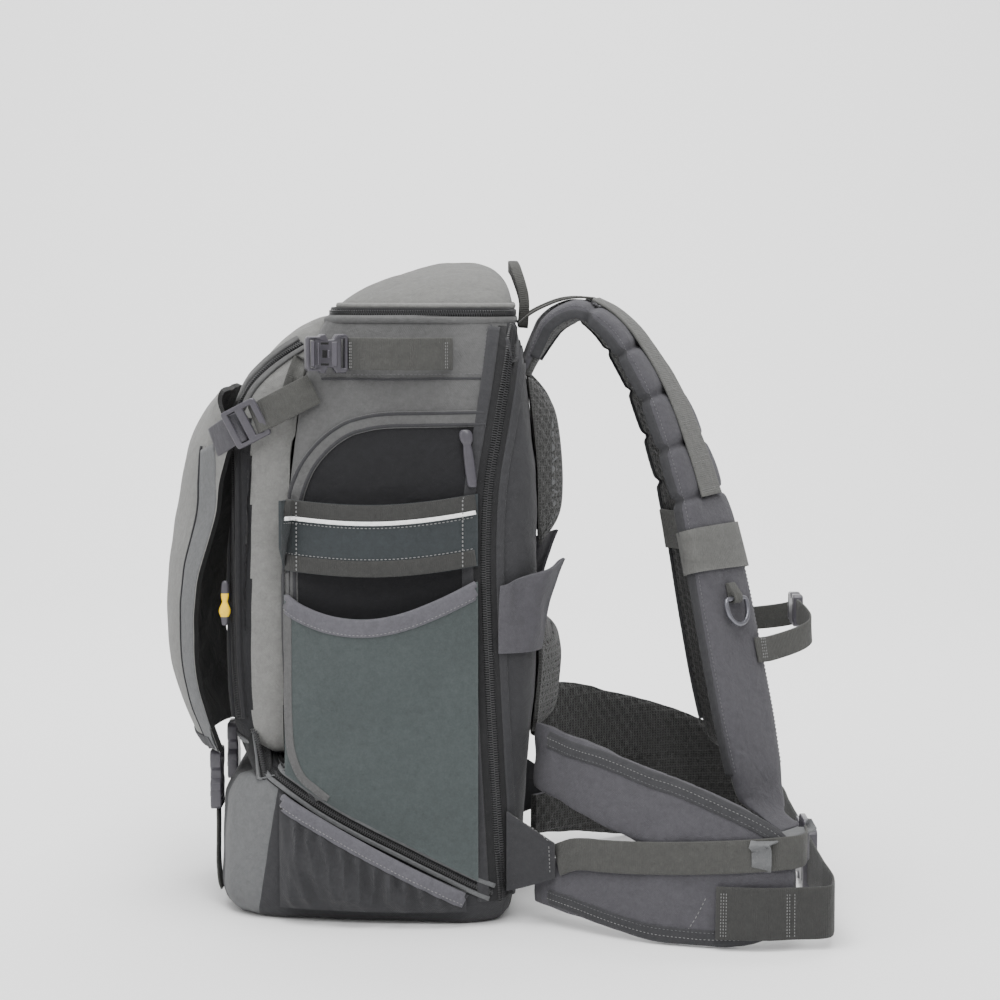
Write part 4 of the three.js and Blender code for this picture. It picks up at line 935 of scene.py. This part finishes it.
def bound_edge(name, line, across, out, width, thick, material):
    """A folded tape round an edge: a flattened tube."""
    turns = [2 * math.pi * k / 14 for k in range(14)]
    rings = []
    for p, a, o in zip(line, across, out):
        ring = []
        for angle in turns:
            u, v = math.cos(angle), math.sin(angle)
            x = np.sign(u) * abs(u) ** 0.7 * width / 2
            y = np.sign(v) * abs(v) ** 0.7 * thick / 2
            ring.append(p + a * x + o * y)
        rings.append(ring)
    return loft(name, rings, [material])


# Hard pieces


def hard(node, name, material, bevel=0.35, levels=0):
    made = cad_copy(node, name, quads=levels > 0)
    if levels:
        made = subdivided(made, levels, 60, 0.0)
    else:
        limit = {"limit_method": "ANGLE", "angle_limit": math.radians(35)}
        modify(made, "BEVEL", width=bevel * MM, segments=2, **limit)
        settle(made)
    return dress(made, [material], smooth=40)


def lay(name, line, section, surface, material, side="right"):
    """Lays a band on a surface and enters it."""
    return piece(laid(name, line, section, surface, material, side))


def sew(name, line, surface, side="right", **settings):
    """Sews a line of stitches on a surface and enters it."""
    return piece(stitched(name, line, surface, side, **settings))


def shifted(line, dx=0.0, dz=0.0):
    """A flat line moved along both of its coordinates."""
    return [(x + dx, z + dz) for x, z in line]


def lipped(name, line, drop, width, surface, material, wall):
    """A hem's tape below the mouth of a pocket and folded over it. line is the mouth's edge."""
    lowered = shifted(line, 0, -drop)
    parts = [laid(name + "_face", lowered, band_section(width, 1.3, 2.2), surface, material)]
    edge, normals = on_surface(shifted(line, 0, -1.9), surface)
    middle = edge - normals * (wall / 2 - 0.1)
    rise = unit(np.cross(frames(edge), normals))
    parts.append(bound_edge(name + "_fold", middle, rise, normals, 5.2, wall + 2.4, material))
    return joined(name, parts)


def ripples(points, *waves):
    """Smooth noises added up, each given as its size, seed and height."""
    return sum(hills(points, size, seed) * height for size, seed, height in waves)


def pad(fill):
    """A padded piece's softness: its kind, with the share of its inside that is foam."""
    return "padded", {"fill": fill}


def sheet(flat, held, area=None):
    """A piece of cloth's softness on the body: its flat size in metres and how it is held."""
    return "sheet", {"flat": flat, "held": held, "area": area, "rests_on": ["body"]}


# Front pocket and flap


def pocket_bumps(points, normals):
    rise = ripples(points, (55.0, 5.0, 1.8), (20.0, 2.0, 0.8))
    rise = np.where(points[:, 2] > 380, np.abs(rise) + 0.4, rise)
    return points + normals * rise[:, None]


def pocket_panel(middle, normal):
    """Light cloth on the upper slope and round the sides, and shade behind the flap."""
    x, _, z = middle
    light = z > 398 or (abs(normal[1]) > 0.5 and x > -101)
    return 0 if light else 3


def flap_bumps(points, normals):
    rise = ripples(points, (50.0, 8.0, 2.0), (20.0, 4.0, 0.7))
    return points + np.array([1.0, 0, 0]) * rise[:, None]


def flap_panel(middle, normal):
    return 1 if normal[0] > 0.1 else 0


def front_parts():
    cloths = [LIGHT, MIDDLE, DARK, PAINTED_SHADE]
    pocket = soft_copy("front_pocket", "front_pocket_cloth", 3, cloths, pocket_panel, bumps=pocket_bumps)
    piece(pocket, stands_for=["front_pocket"], soft=pad(0.5), slot="light_fabric")
    flap = soft_copy("front_flap", "front_flap_cloth", 3, [LIGHT, LINING_AND_PAINTED_SHADOW], flap_panel, bumps=flap_bumps)
    piece(flap, stands_for=["front_flap"], soft=pad(0.4), slot="light_fabric")
    on_flap = Surface(flap)
    lay("flap_binding_right", shifted(FLAP_SIDE, 9.5), band_section(18, 1.3, 2.5), on_flap, EDGE, "front")
    # The seam line inside the flap's binding: a round piping in the painted-shade cloth.
    lay("flap_piping_right", shifted(FLAP_SIDE, 19.5), round_section(1.4), on_flap, PAINTED_SHADE, "front")
    sew("flap_stitch_right", shifted(FLAP_SIDE, 12.6), on_flap, "front", material=DULL_THREAD)
    lay("flap_hem", shifted(FLAP_LOW, 0, 5), band_section(10, 1.7, 2.5), on_flap, BINDING, "front")
    return pocket


# Side pockets and band


def pocket_hem(s):
    """The side pocket's mouth at a share of its length: level at both ends and sagging between."""
    return mix(-72.5, 76.5, s), RIM_HEIGHT * (mix(0.543, 0.569, s) - 0.047 * math.sin(math.pi * s**0.85))


def band_middle(s):
    return mix(-72, 76, s), RIM_HEIGHT * (mix(0.642, 0.653, s) - 0.012 * math.sin(math.pi * s))


def base_rise(s):
    """The height of the base pocket's upper edge at a share of its length."""
    return RIM_HEIGHT * mix(0.214, 0.058, s**0.95)


def base_mouth(s):
    return mix(-76.5, 67, s), base_rise(s) - 0.6


def knit_bumps(points, normals):
    rise = ripples(points, (52.0, 1.0, 2.4), (19.0, 7.0, 0.5))
    return points + np.array([0, -1.0, 0]) * rise[:, None]


def gather_bumps(points, normals):
    """Close folds under the hem that widen and fade downwards, and slanted creases below."""
    x, z = points[:, 0], points[:, 2]
    s = np.clip((x + 78.6) / 147.4, 0, 1)
    below = np.clip(base_rise(s) - z - 11, 0, 200)
    fold = 1 - np.abs(np.sin(math.pi * (s * 12 + 0.5 * hills(points, 34.0, 6.0)) - below * 0.03))
    start = np.clip(below / 7.0, 0, 1)
    small = np.exp(-below / 34.0) * (fold - 0.4) * 8.0 * start
    slanted = np.stack([x * 1.2 + z * 0.9, 0 * x, z * 0.3 - x * 0.25], 1)
    wide = (1 - 2.4 * np.abs(hills(slanted, 34.0, 4.0))) * 6.0 * np.clip(below / 26.0, 0, 1)
    edge = np.clip(np.minimum(s, 1 - s) / 0.06, 0, 1)
    rise = (small + wide + 0.6) * edge * np.clip((z - 10) / 12, 0, 1)
    return points + np.array([0, -1.0, 0]) * rise[:, None]


def corner_bumps(points, normals):
    """Upright folds towards the corner pocket's mouth."""
    turn = np.arctan2(points[:, 1] + 126, points[:, 0] - 93) * 34
    upper = np.clip((points[:, 2] - 222) / 30, 0, 1)
    rise = np.sin(turn / 4.2 + hills(points, 30.0, 3.0) * 1.5) * 2.4 * upper
    return points + np.array([0.7, -0.7, 0]) * (rise + hills(points, 22.0) * 1.5)[:, None]


def side_pocket():
    pouch = soft_copy("side_pocket_right", "side_pocket_knit_right", 3, [STRETCH], bumps=knit_bumps)
    piece(pouch, stands_for=["side_pocket_right"], slot="stretch_fabric",
          soft=sheet((0.172, 0.215), "stretched", 0.029))
    on_pouch = Surface(pouch)
    hem = [pocket_hem(s) for s in SHARES]
    piece(lipped("side_pocket_hem_right", hem, 7.6, 11.5, on_pouch, TAPE, 2.5))
    sew("side_pocket_stitch_right", shifted(hem, 0, -11.6), on_pouch, lift=1.2)
    lay("side_pocket_rim_right", POCKET_RIM, band_section(6.5, 1.0, 1.5), on_pouch, MIDDLE)
    sew("side_pocket_rim_stitch_right", POCKET_RIM, on_pouch, offset=-2.0, lift=0.9, material=DULL_THREAD)


def side_band():
    band = soft_copy("side_band_right", "side_band_cloth_right", 3, [BAND])
    piece(band, stands_for=["side_band_right"], slot="webbing", soft=sheet((0.16, 0.056), "stretched"))
    on_band = Surface(band)
    middle = [band_middle(s) for s in SHARES]
    for label, rise in (("upper", BAND_HEM), ("lower", -BAND_HEM)):
        section = band_section(12.5, 0.9, 2.4)
        lay(f"side_band_{label}_hem_right", shifted(middle, 0, rise), section, on_band, WEB_DARK)
    lay("side_band_line_right", shifted(middle, 0, 13.6), band_section(3.2, 1.2, 0.4), on_band, REFLECTIVE)
    sew("side_band_stitch_right", shifted(middle, 0, -14.2), on_band, lift=0.5)
    sew("side_band_stitch_upper_right", shifted(middle, 0, 10.0), on_band, lift=0.2)
    for k, x in enumerate((-63, 66)):
        z = RIM_HEIGHT * np.interp(x, [-74, 78], [0.642, 0.653])
        ends = [(x, z - 27), (x, z), (x, z + 27)]
        sew(f"side_band_tack{k}_right", ends, on_band, lift=1.0, radius=0.5)


def gathered_pockets():
    gathered = soft_copy("base_pocket_right", "base_pocket_cloth_right", 3, [DARK], bumps=gather_bumps)
    piece(gathered, stands_for=["base_pocket_right"], slot="dark_fabric",
          soft=sheet((0.19, 0.1), "gathered", 0.0125))
    on_gathered = Surface(gathered)
    mouth = [base_mouth(s) for s in SHARES]
    piece(lipped("base_pocket_hem_right", mouth, 6.6, 10.5, on_gathered, TAPE, 2.5))
    sew("base_pocket_stitch_right", shifted(mouth, 0, -9.4), on_gathered, lift=1.3)
    corner = soft_copy("corner_pocket_right", "corner_pocket_cloth_right", 3, [STRAP], bumps=corner_bumps)
    piece(corner, stands_for=["corner_pocket_right"], slot="dark_fabric",
          soft=sheet((0.075, 0.06), "gathered", 0.004))


# Trims and zips


def trims_and_zips(shell, pocket):
    on_body, on_both = Surface(shell), Surface(shell, pocket)
    lay("side_trim_right", SIDE_TRIM, band_section(13, 1.6), on_body, MIDDLE)
    for k, offset in enumerate((-4.6, 4.6)):
        section = [(a + offset, b) for a, b in round_section(1.5, 0.6)]
        lay(f"side_trim_piping{k}_right", SIDE_TRIM, section, on_body, DARK)
    lay("main_zip_border_right", shifted(MAIN_ZIP, -14), band_section(9, 2.0), on_body, BINDING)
    sew("main_zip_stitch_right", shifted(MAIN_ZIP, -17), on_body, lift=1.6, material=DULL_THREAD)
    places, normals = on_surface(MAIN_ZIP, on_body, lift=1.0)
    lay("main_zip_tape_right", MAIN_ZIP, band_section(21, 0.9), on_body, ZIP_TAPE)
    piece(teeth("main_zip_coil_right", places, normals, reach=4.0))
    lay("main_zip_edge_right", shifted(MAIN_ZIP, 11), band_section(6, 2.0), on_body, DARK)
    piece(zipper("base_zip_right", BASE_ZIP, on_both, tape=17.0, lips=5.4, lip_material=EDGE))
    on_slope = Surface(pocket, shell)
    piece(zipper("front_zip_right", FRONT_SLOPE, on_slope, tape=11.0, lips=4.4, lip_material=MIDDLE))
    upright = Surface(pocket)
    # Painted shade: the lips of the zip up the pocket's front edge take the darkest cloth.
    piece(zipper("front_pocket_zip_right", FRONT_UPRIGHT, upright, tape=14.0, lips=5.0, lip_material=PAINTED_SHADE))
    lay("side_buckle_tail_right", BUCKLE_TAIL, band_section(15, 2.6, 0.4), on_both, WEB)
    for label, line in SIDE_SEAMS.items():
        lay(f"side_seam_{label}_right", line, round_section(1.0, 0.0, 8), on_body, DARK)
        sew(f"side_seam_{label}_stitch_right", line, on_body, offset=3.2, lift=0.1, material=DULL_THREAD)


# Top cover and back


def cover_bumps(points, normals):
    rise = ripples(points, (42.0, 12.0, 1.6), (15.0, 5.0, 0.5))
    return points + normals * (rise * np.clip((points[:, 2] - 482) / 8, 0, 1))[:, None]


def pad_bumps(points, normals):
    """Dimples on the side of a pad that meets the wearer."""
    dip = hollow(points[:, 1:3], 6.4) * 1.3 * np.clip((normals[:, 0] - 0.35) * 3, 0, 1)
    return points - normals * dip[:, None]


def pad_marks(surface):
    """A row of raised triangles up the side of the upper back pad, shaped like its embossed cells and
    coloured light as painted highlights.
    """
    points, faces = [], []
    for k in range(15):
        z = 262 + k * 9.0
        shift = len(points)
        for x, rise in ((0, 0), (0, 7.0), (5.0, 3.5)):
            place, normal = surface.at(136 + x, z + rise)
            points += [place - normal * 0.4, place + normal * 0.5]
        if not shift:
            first = outward(points, [(1, 3, 5), (4, 2, 0), (0, 2, 3, 1), (2, 4, 5, 3), (4, 0, 1, 5)])
        faces += [[shift + i for i in f] for f in first]
    # Painted highlights: the triangles take the lighter flap-edge cloth.
    piece(new_object("pad_marks_right", points, faces, None, [EDGE], smooth=False))


def top_and_back(shell):
    cover = soft_copy("top_cover", "top_cover_cloth", 3, [LID], bumps=cover_bumps)
    piece(cover, stands_for=["top_cover"], soft=pad(0.6), slot="light_fabric")
    top_ring("top_zip", shell, cover)
    pads = soft_copy("upper_back_pad_right", "upper_back_pad_mesh_right", 4, [MESH], bumps=pad_bumps)
    piece(pads, stands_for=["upper_back_pad_right"], soft=pad(0.8), slot="air_mesh")
    lumbar = soft_copy("lumbar_pad", "lumbar_pad_mesh", 4, [MESH], bumps=pad_bumps)
    piece(lumbar, stands_for=["lumbar_pad"], soft=pad(0.8), slot="air_mesh")
    pad_marks(Surface(pads))


def strap_pieces():
    """The shoulder strap, with its bound edges and stitches."""
    strap, steps, rows, rings = shoulder_strap()
    piece(strap, stands_for=["shoulder_strap_right"], soft=pad(0.7), slot="dark_fabric")
    keep = (steps > 14) & (steps < steps[-1] - 60)
    a, o = unit(rows[keep][:, 3:6]), unit(rows[keep][:, 6:9])
    for k, sign in enumerate((-1, 1)):
        edge = rings[keep][:, OUTER_POINTS if sign < 0 else -1]
        middle = edge - a * sign * 0.4 - o * 1.5
        piece(bound_edge(f"strap_binding{k}_right", middle, o, a, 8.0, 3.2, BINDING))
        line = rings[keep][:, OUTER_POINTS - 4 if sign < 0 else 3]
        piece(dashes(f"strap_stitch{k}_right", line + a * sign * 0.4, unit(o + a * sign), DULL_THREAD))


def build():
    shell = body()
    piece(shell, stands_for=["main_shell", "base_shell"], soft=pad(0.8), slot="dark_fabric")
    pocket = front_parts()
    side_pocket()
    side_band()
    gathered_pockets()
    trims_and_zips(shell, pocket)
    top_and_back(shell)
    strap_pieces()
    wing_pieces()
    web_pieces()
    hardware()


def top_ring(name, shell, cover):
    """The zip round the top: two lips, a coil and a piping above them, round the body's rim."""
    outside = Surface(shell, cover)

    def ring(z, lift):
        found, normal = [], []
        for k in range(240):
            a = -2 * math.pi * k / 240
            way = np.array([math.cos(a), math.sin(a), 0])
            place, n = outside.cast((30 + 500 * way[0], 500 * way[1], z), -way)
            found.append([place[0], place[1], z])
            normal.append(unit(np.array([n[0], n[1], 0.0])) if abs(n[2]) < 0.95 else way)
        return np.array(found) + np.array(normal) * lift, np.array(normal)

    def hoop(label, z, lift, width, thick, material):
        line, normal = ring(z, lift)
        for _ in range(3):
            line = 0.5 * line + 0.25 * (np.roll(line, 1, 0) + np.roll(line, -1, 0))
            normal = unit(0.5 * normal + 0.25 * (np.roll(normal, 1, 0) + np.roll(normal, -1, 0)))
        turns = [2 * math.pi * k / 10 for k in range(10)]
        height = np.array([0, 0, width / 2])
        rings = []
        for p, n in zip(line, normal):
            rings.append([p + n * (math.cos(t) * thick / 2) + height * math.sin(t) for t in turns])
        rings.append(rings[0])
        piece(loft(label, rings, [material], ends=False))
        return line, normal

    hoop(name + "_lower_lip", 473.5, 0.6, 6.0, 3.0, MIDDLE)
    hoop(name + "_tape", 479.0, 0.2, 9.0, 1.6, ZIP_TAPE)
    line, normal = ring(479.0, 1.0)
    piece(teeth(name + "_coil", np.vstack([line, line[:1]]), np.vstack([normal, normal[:1]]), reach=2.4))
    hoop(name + "_upper_lip", 484.5, 0.8, 5.0, 3.2, LIGHT)


# The hip wing's upper and lower edges, as X and Z in mm.
WING_TOP = [
    (133, 152), (150, 147), (172, 143), (195, 136), (210, 131),
    (232, 125), (260, 114), (285, 103), (304, 92), (314, 82),
]
WING_LOW = [
    (133, 16), (150, 13.5), (172, 8.5), (195, 4), (210, 1.8),
    (232, 0.8), (260, 0.8), (285, 2.6), (304, 11.5), (314, 20),
]


def wing_bumps(points, normals):
    """Dimpled mesh inside; outside, soft wrinkles and close puckers under the upper binding."""
    inner = np.clip((normals[:, 1] - 0.35) * 3, 0, 1)
    dip = hollow(np.stack([points[:, 0], points[:, 2]], 1), 8.5) * 2.2 * inner
    below_edge = points[:, 2] - np.interp(points[:, 0], *np.array(WING_TOP).T) + 20
    near_edge = np.exp(-np.abs(below_edge) / 14)
    pucker = np.sin(points[:, 0] / 2.6 + hills(points, 40.0, 3.0) * 3) * near_edge * 0.7
    rise = (ripples(points, (46.0, 6.0, 2.4), (17.0, 2.0, 0.9)) + pucker) * (1 - inner)
    return points + normals * (rise - dip)[:, None]


def wing_panel(middle, normal):
    return 1 if normal[1] > 0.15 else 0


def wing_pieces():
    """The padded hip wing, its bound edges, and the stitches along them and down its seam."""
    wing = soft_copy("hip_wing_right", "hip_wing_cloth_right", 3, [STRAP, MESH], wing_panel, bumps=wing_bumps)
    piece(wing, stands_for=["hip_wing_right"], soft=pad(0.6), slot="dark_fabric")
    outside = Surface(wing)
    for label, line, sign in (("top", WING_TOP, -1), ("low", WING_LOW, 1)):
        inner_line = shifted(line, 0, sign * 8.5)
        lay(f"wing_{label}_binding_right", inner_line, band_section(9, 1.0, 1.5), outside, BINDING)
        edge, normals = on_surface(shifted(line, 0, sign * 3.4), outside)
        rise = unit(np.cross(frames(edge), normals))
        piece(bound_edge(f"wing_{label}_fold_right", edge - normals * 2.4, rise, normals, 7.0, 6.6, BINDING))
        for k, (inset, thread) in enumerate(((6.0, THREAD), (11.0, DULL_THREAD))):
            stitch_line = shifted(line, 0, sign * inset)
            sew(f"wing_{label}_stitch{k}_right", stitch_line, outside, lift=0.9, material=thread)
    sew("wing_seam_stitch_right", [(232, 4), (243, 22), (252, 40)], outside, lift=0.2, pitch=3.8)


# Each webbing's CAD node, its piece's name, its material and how much it wavers or grows in mm.
WEBS = [
    ("side_strap_right", "side_strap_web_right", WEB, {}),
    ("load_lifter_right", "load_lifter_web_right", WEB, {"sway": 1.2}),
    ("flap_strap_right", "flap_strap_web_right", WEB, {}),
    ("base_strap_right", "base_strap_web_right", WEB, {}),
    ("daisy_web_right", "daisy_web_cloth_right", WEB_LIGHT, {"sway": 0.2, "grow": 0.3}),
    ("sternum_web_right", "sternum_web_cloth_right", WEB, {"sway": 0.2}),
    ("lower_web_right", "lower_web_cloth_right", WEB, {"sway": 0.8}),
    ("hip_web_right", "hip_web_cloth_right", WEB_DARK, {"sway": 0.4}),
]
# Where webbing is tacked down: the pieces' name, shares of its length and rows of stitches at each.
TACKS = {
    "daisy_web_right": ("daisy_tack{}_right", (0.04, 0.2, 0.36, 0.52, 0.68, 0.84, 0.97), 2),
    "side_strap_right": ("side_strap_tack{}_right", (0.03, 0.93), 2),
    "hip_web_right": ("hip_tack{}_right", (0.02, 0.2), 3),
    "sternum_web_right": ("sternum_tack_right", (0.06,), 3),
}


def web_pieces():
    """All webbing, its tacks, the sleeve on the shoulder strap and the anchor tab."""
    for node, name, material, options in WEBS:
        made, path = ribbon(node, name, material, **options)
        piece(made, stands_for=[node], slot="webbing")
        above = "daisy" in name or "lifter" in name
        outer = facing(path, (0.3, -0.2, 1) if above else (0, -1, 0))
        if node == "lower_web_right":
            keeper(Surface(made))
        label, shares, rows = TACKS.get(node, ("", (), 0))
        for k, at in enumerate(shares):
            piece(cross_stitches(label.format(k), path, at, rows, outer=outer))
    flap_tab()
    handle, path = ribbon("grab_handle", "grab_handle_web", WEB, sway=0.3)
    piece(handle, stands_for=["grab_handle"], slot="webbing")
    sleeve = soft_copy("strap_sleeve_right", "strap_sleeve_cloth_right", 2, [WEB_LIGHT])
    piece(sleeve, stands_for=["strap_sleeve_right"], slot="webbing")
    tab = soft_copy("anchor_tab_right", "anchor_tab_cloth_right", 3, [DARK])
    piece(tab, stands_for=["anchor_tab_right"], slot="dark_fabric")
    on_tab = Surface(tab)
    sew("anchor_tab_stitch_right", [(108, 86), (122, 78), (134, 68)], on_tab)
    sew("anchor_tab_stitch_end_right", [(133, 64), (133.5, 53), (134, 42)], on_tab)


def strip(name, points, across, width, thick, material, step=2.0):
    """Free webbing through points, with the direction of its width at each of them."""
    both = curve(np.hstack([np.asarray(points, float), np.asarray(across, float)]), step)
    line, wide = both[:, :3], both[:, 3:]
    way = frames(line)
    wide = unit(wide - way * (wide * way).sum(1, keepdims=True))
    up = np.cross(way, wide)
    rings = []
    for m, w, u in zip(line, wide, up):
        rings.append([m + w * (a * width / 2) + u * (b * thick / 2) for a, b in WEB_SECTION])
    return loft(name, rings, [material])


def flap_tab():
    """The webbing through the flap's ladder lock, sewn to the flap's corner."""
    middle, wide, thick = ribbon_path("flap_strap_right")
    if middle[0][0] > middle[-1][0]:
        middle, wide, thick = middle[::-1], wide[::-1], thick[::-1]
    run = unit(middle[3] - middle[0])
    inward = unit(np.array([0.25, 1.0, 0]) - run * (np.array([0.25, 1.0, 0]) @ run))
    across = unit(wide[0])
    centre = middle[0] - run * 15.7
    upper = [
        middle[2], middle[0], centre + run * 10.5 - inward * 2.2,
        centre + run * 6.6, centre + run * 5.2 + inward * 4,
    ]
    piece(strip("flap_strap_turn_right", upper, [across] * 5, 24, 1.8, WEB))
    steps = [(5.0, 4), (6.6, -0.5), (11, -2.6), (17, -1.5), (27, 5), (38, 13)]
    lower = [centre - run * back + inward * deep for back, deep in steps]
    piece(strip("flap_tab_right", lower, [across] * 6, 24, 2.0, STRAP))


def keeper(surface):
    """The small band that holds the lower webbing's loose end."""
    places = [surface.at(292, z) for z in np.linspace(60, 92, 7)]
    normals = np.array([n for _, n in places])
    line = np.array([p for p, _ in places]) + normals * 1.6
    line[0] -= normals[0] * 4
    line[-1] -= normals[-1] * 4
    piece(strip("web_keeper_right", line, [(1.0, -0.2, 0)] * len(line), 15, 1.8, EDGE))


def block(centre, along, across, out, size):
    """A box with its outer face narrowed: points and faces."""
    points = []
    for a, b, c in BOX_CORNERS:
        trim = 0.35 if c > 0 else 0
        place = centre + along * a * (size[0] / 2 - trim) + across * b * (size[1] / 2 - trim)
        points.append(place + out * c * size[2] / 2)
    return points, outward(points, BOX_FACES)


# Raised parts of a fastened buckle's face, and dark parts that are painted shade in its windows: shares of
# its length and width, sizes in the same shares.
BUCKLE_FACE = {
    "raised": [(0.2, 0, 0.14, 0.62), (0.75, 0, 0.1, 0.66), (0.6, 0, 0.045, 0.56), (0.34, 0.0, 0.05, 0.2)],
    "dark": [(0.45, 0.0, 0.12, 0.2), (0.45, 0.27, 0.2, 0.06), (0.45, -0.27, 0.2, 0.06)],
}


def buckle_face(node, name, along, across, out):
    """Ribs on a fastened buckle's visible face, and its windows as black blocks of painted shade."""
    along, across, out = (unit(np.asarray(v, float)) for v in (along, across, out))
    co = coordinates(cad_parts[node])
    low = np.array([(co @ v).min() for v in (along, across, out)])
    high = np.array([(co @ v).max() for v in (along, across, out)])
    span = high - low
    parts = []
    # The dark blocks are painted shade in the buckle's windows.
    for kind, material, height in (("raised", PLASTIC, 1.2), ("dark", LINING_AND_PAINTED_SHADOW, 0.5)):
        points, faces = [], []
        for u, v, du, dv in BUCKLE_FACE[kind]:
            local = (low[0] + u * span[0], (low[1] + high[1]) / 2 + v * span[1], high[2])
            centre = along * local[0] + across * local[1] + out * local[2]
            shift = len(points)
            more, sides = block(centre, along, across, out, (du * span[0], dv * span[1], height))
            points += more
            faces += [[shift + i for i in f] for f in sides]
        parts.append(new_object(f"{name}_{kind}", points, faces, None, [material], smooth=False))
    piece(joined(name, parts), slot="buckle_plastic")


def hardware():
    """Buckles, locks, rings and pulls, made from their CAD solids."""
    buckle_face("side_buckle_right", "side_buckle_face_right", (-1, 0.18, 0), (0, 0, 1), (-0.18, -1, 0))
    buckle_face("base_buckle_right", "base_buckle_face_right", (0, 0, -1), (0, 1, 0), (-1, 0, 0))
    buckle_face("sternum_buckle", "sternum_buckle_face", (0, 1, 0), (0, 0, 1), (1, 0, 0))
    edges = {"side_buckle": 0.4, "flap_lock": 0.35, "base_buckle": 0.4, "ladder_lock": 0.35}
    for label, bevel in edges.items():
        made = hard(f"{label}_right", f"{label}_plastic_right", PLASTIC, bevel)
        piece(made, stands_for=[f"{label}_right"])
    for node in ("hip_buckle_socket", "hip_buckle_plug", "sternum_buckle"):
        piece(hard(node, node + "_plastic", PLASTIC, 0.45), stands_for=[node])
    ring = hard("d_ring_right", "d_ring_wire_right", METAL, levels=2)
    move_points(ring, coordinates(ring) + normals_of(ring) * 0.28)
    piece(ring, body="ring_right", stands_for=["d_ring_right"], slot="ring_metal")
    tab = hard("ring_tab_right", "ring_tab_web_right", WEB, 0.3)
    piece(tab, stands_for=["ring_tab_right"], slot="webbing")
    pull = hard("side_zip_pull_right", "side_zip_pull_grip_right", PLASTIC, levels=2)
    piece(pull, stands_for=["side_zip_pull_right"])
    bead = cad_copy("front_zip_pull_right", "front_zip_pull_grip_right")
    bead = subdivided(bead, 3, 80, 0.0)
    dress(bead, [PLASTIC, YELLOW], lambda m, n: 1 if 239 < m[2] < 257 else 0)
    piece(bead, stands_for=["front_zip_pull_right"], slot="yellow_plastic")


def mirrored():
    """Copies every right-hand piece to the left side."""
    swap = lambda name: name.replace("_right", "_left")
    for entry in list(PIECES):
        obj = entry["obj"]
        if not obj.name.endswith("_right"):
            continue
        mesh = obj.data.copy()
        mesh.name = swap(obj.name)
        mesh.transform(Matrix.Scale(-1, 4, (0, 1, 0)))
        mesh.flip_normals()
        copy = bpy.data.objects.new(swap(obj.name), mesh)
        bpy.context.scene.collection.objects.link(copy)
        nodes = [swap(n) for n in entry["nodes"]]
        PIECES.append({**entry, "obj": copy, "body": swap(entry["body"]), "nodes": nodes})


def enter():
    """Parents each piece to its body's empty and hides the CAD nodes it stands for."""
    for entry in PIECES:
        obj = entry["obj"]
        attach(obj, entry["body"])
        if entry["nodes"]:
            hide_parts(*entry["nodes"])
        entry["slot"] or SLOT_OF[obj.data.materials[0].name]
        if entry["soft"]:
            kind, facts = entry["soft"]
            (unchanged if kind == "padded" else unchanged)(obj, **facts)


# Each lamp's name, place in metres, power in watts and size in metres.
LAMPS = [
    ("top", (-0.1, -0.6, 2.6), 74, 1.8),
    ("key", (0.5, -2.6, 2.3), 40, 1.0),
    ("fill", (-2.2, -1.6, 1.2), 14, 1.4),
    ("backdrop", (0.0, 1.6, 3.0), 120, 2.4),
]


def studio():
    """A pale curved floor, soft lamps and the camera at the photograph's angle."""
    profile = [(-6.0, 0.0), (2.0, 0.0)]
    for a in range(6, 91, 6):
        profile.append((2.0 + 2.2 * math.sin(math.radians(a)), 2.2 - 2.2 * math.cos(math.radians(a))))
    profile += [(4.2, 6.0)]
    points = [(x, y, z) for y, z in profile for x in (-8.0, 8.0)]
    faces = [(2 * k, 2 * k + 1, 2 * k + 3, 2 * k + 2) for k in range(len(profile) - 1)]
    mesh = bpy.data.meshes.new("floor")
    mesh.from_pydata(points, [], faces)
    mesh.shade_smooth()
    floor = bpy.data.objects.new("floor", mesh)
    floor.location.z = -0.0006
    bpy.context.scene.collection.objects.link(floor)
    paper = bpy.data.materials.new("floor_paper")
    paper.use_nodes = True
    shader = paper.node_tree.nodes["Principled BSDF"]
    shader.inputs["Base Color"].default_value = (0.93, 0.93, 0.93, 1)
    shader.inputs["Roughness"].default_value = 0.9
    mesh.materials.append(paper)
    world = bpy.data.worlds.new("studio")
    world.use_nodes = True
    sky = world.node_tree.nodes["Background"]
    sky.inputs[0].default_value = (1, 1, 1, 1)
    sky.inputs[1].default_value = 0.8
    bpy.context.scene.world = world
    for name, place, energy, size in LAMPS:
        lamp = bpy.data.lights.new(name, "AREA")
        lamp.energy, lamp.size = energy, size
        obj = bpy.data.objects.new(name, lamp)
        obj.location = place
        aim = Vector((0, 3.6, 0.6)) if name == "backdrop" else Vector((0.1, 0, 0.25))
        obj.rotation_euler = (aim - Vector(place)).to_track_quat("-Z", "Y").to_euler()
        bpy.context.scene.collection.objects.link(obj)
    lens = bpy.data.cameras.new("camera")
    lens.lens, lens.sensor_width = 98.28, 36
    lens.clip_start, lens.clip_end = 0.05, 50
    camera = bpy.data.objects.new("camera", lens)
    camera.location = (0.095, -2.26, 0.497)
    camera.rotation_euler = (math.radians(85.6), 0, 0)
    bpy.context.scene.collection.objects.link(camera)
    bpy.context.scene.camera = camera


build()
mirrored()
enter()
studio()
triangles = sum(sum(len(p.vertices) - 2 for p in o["obj"].data.polygons) for o in PIECES)
print("pieces", len(PIECES), "triangles", triangles)
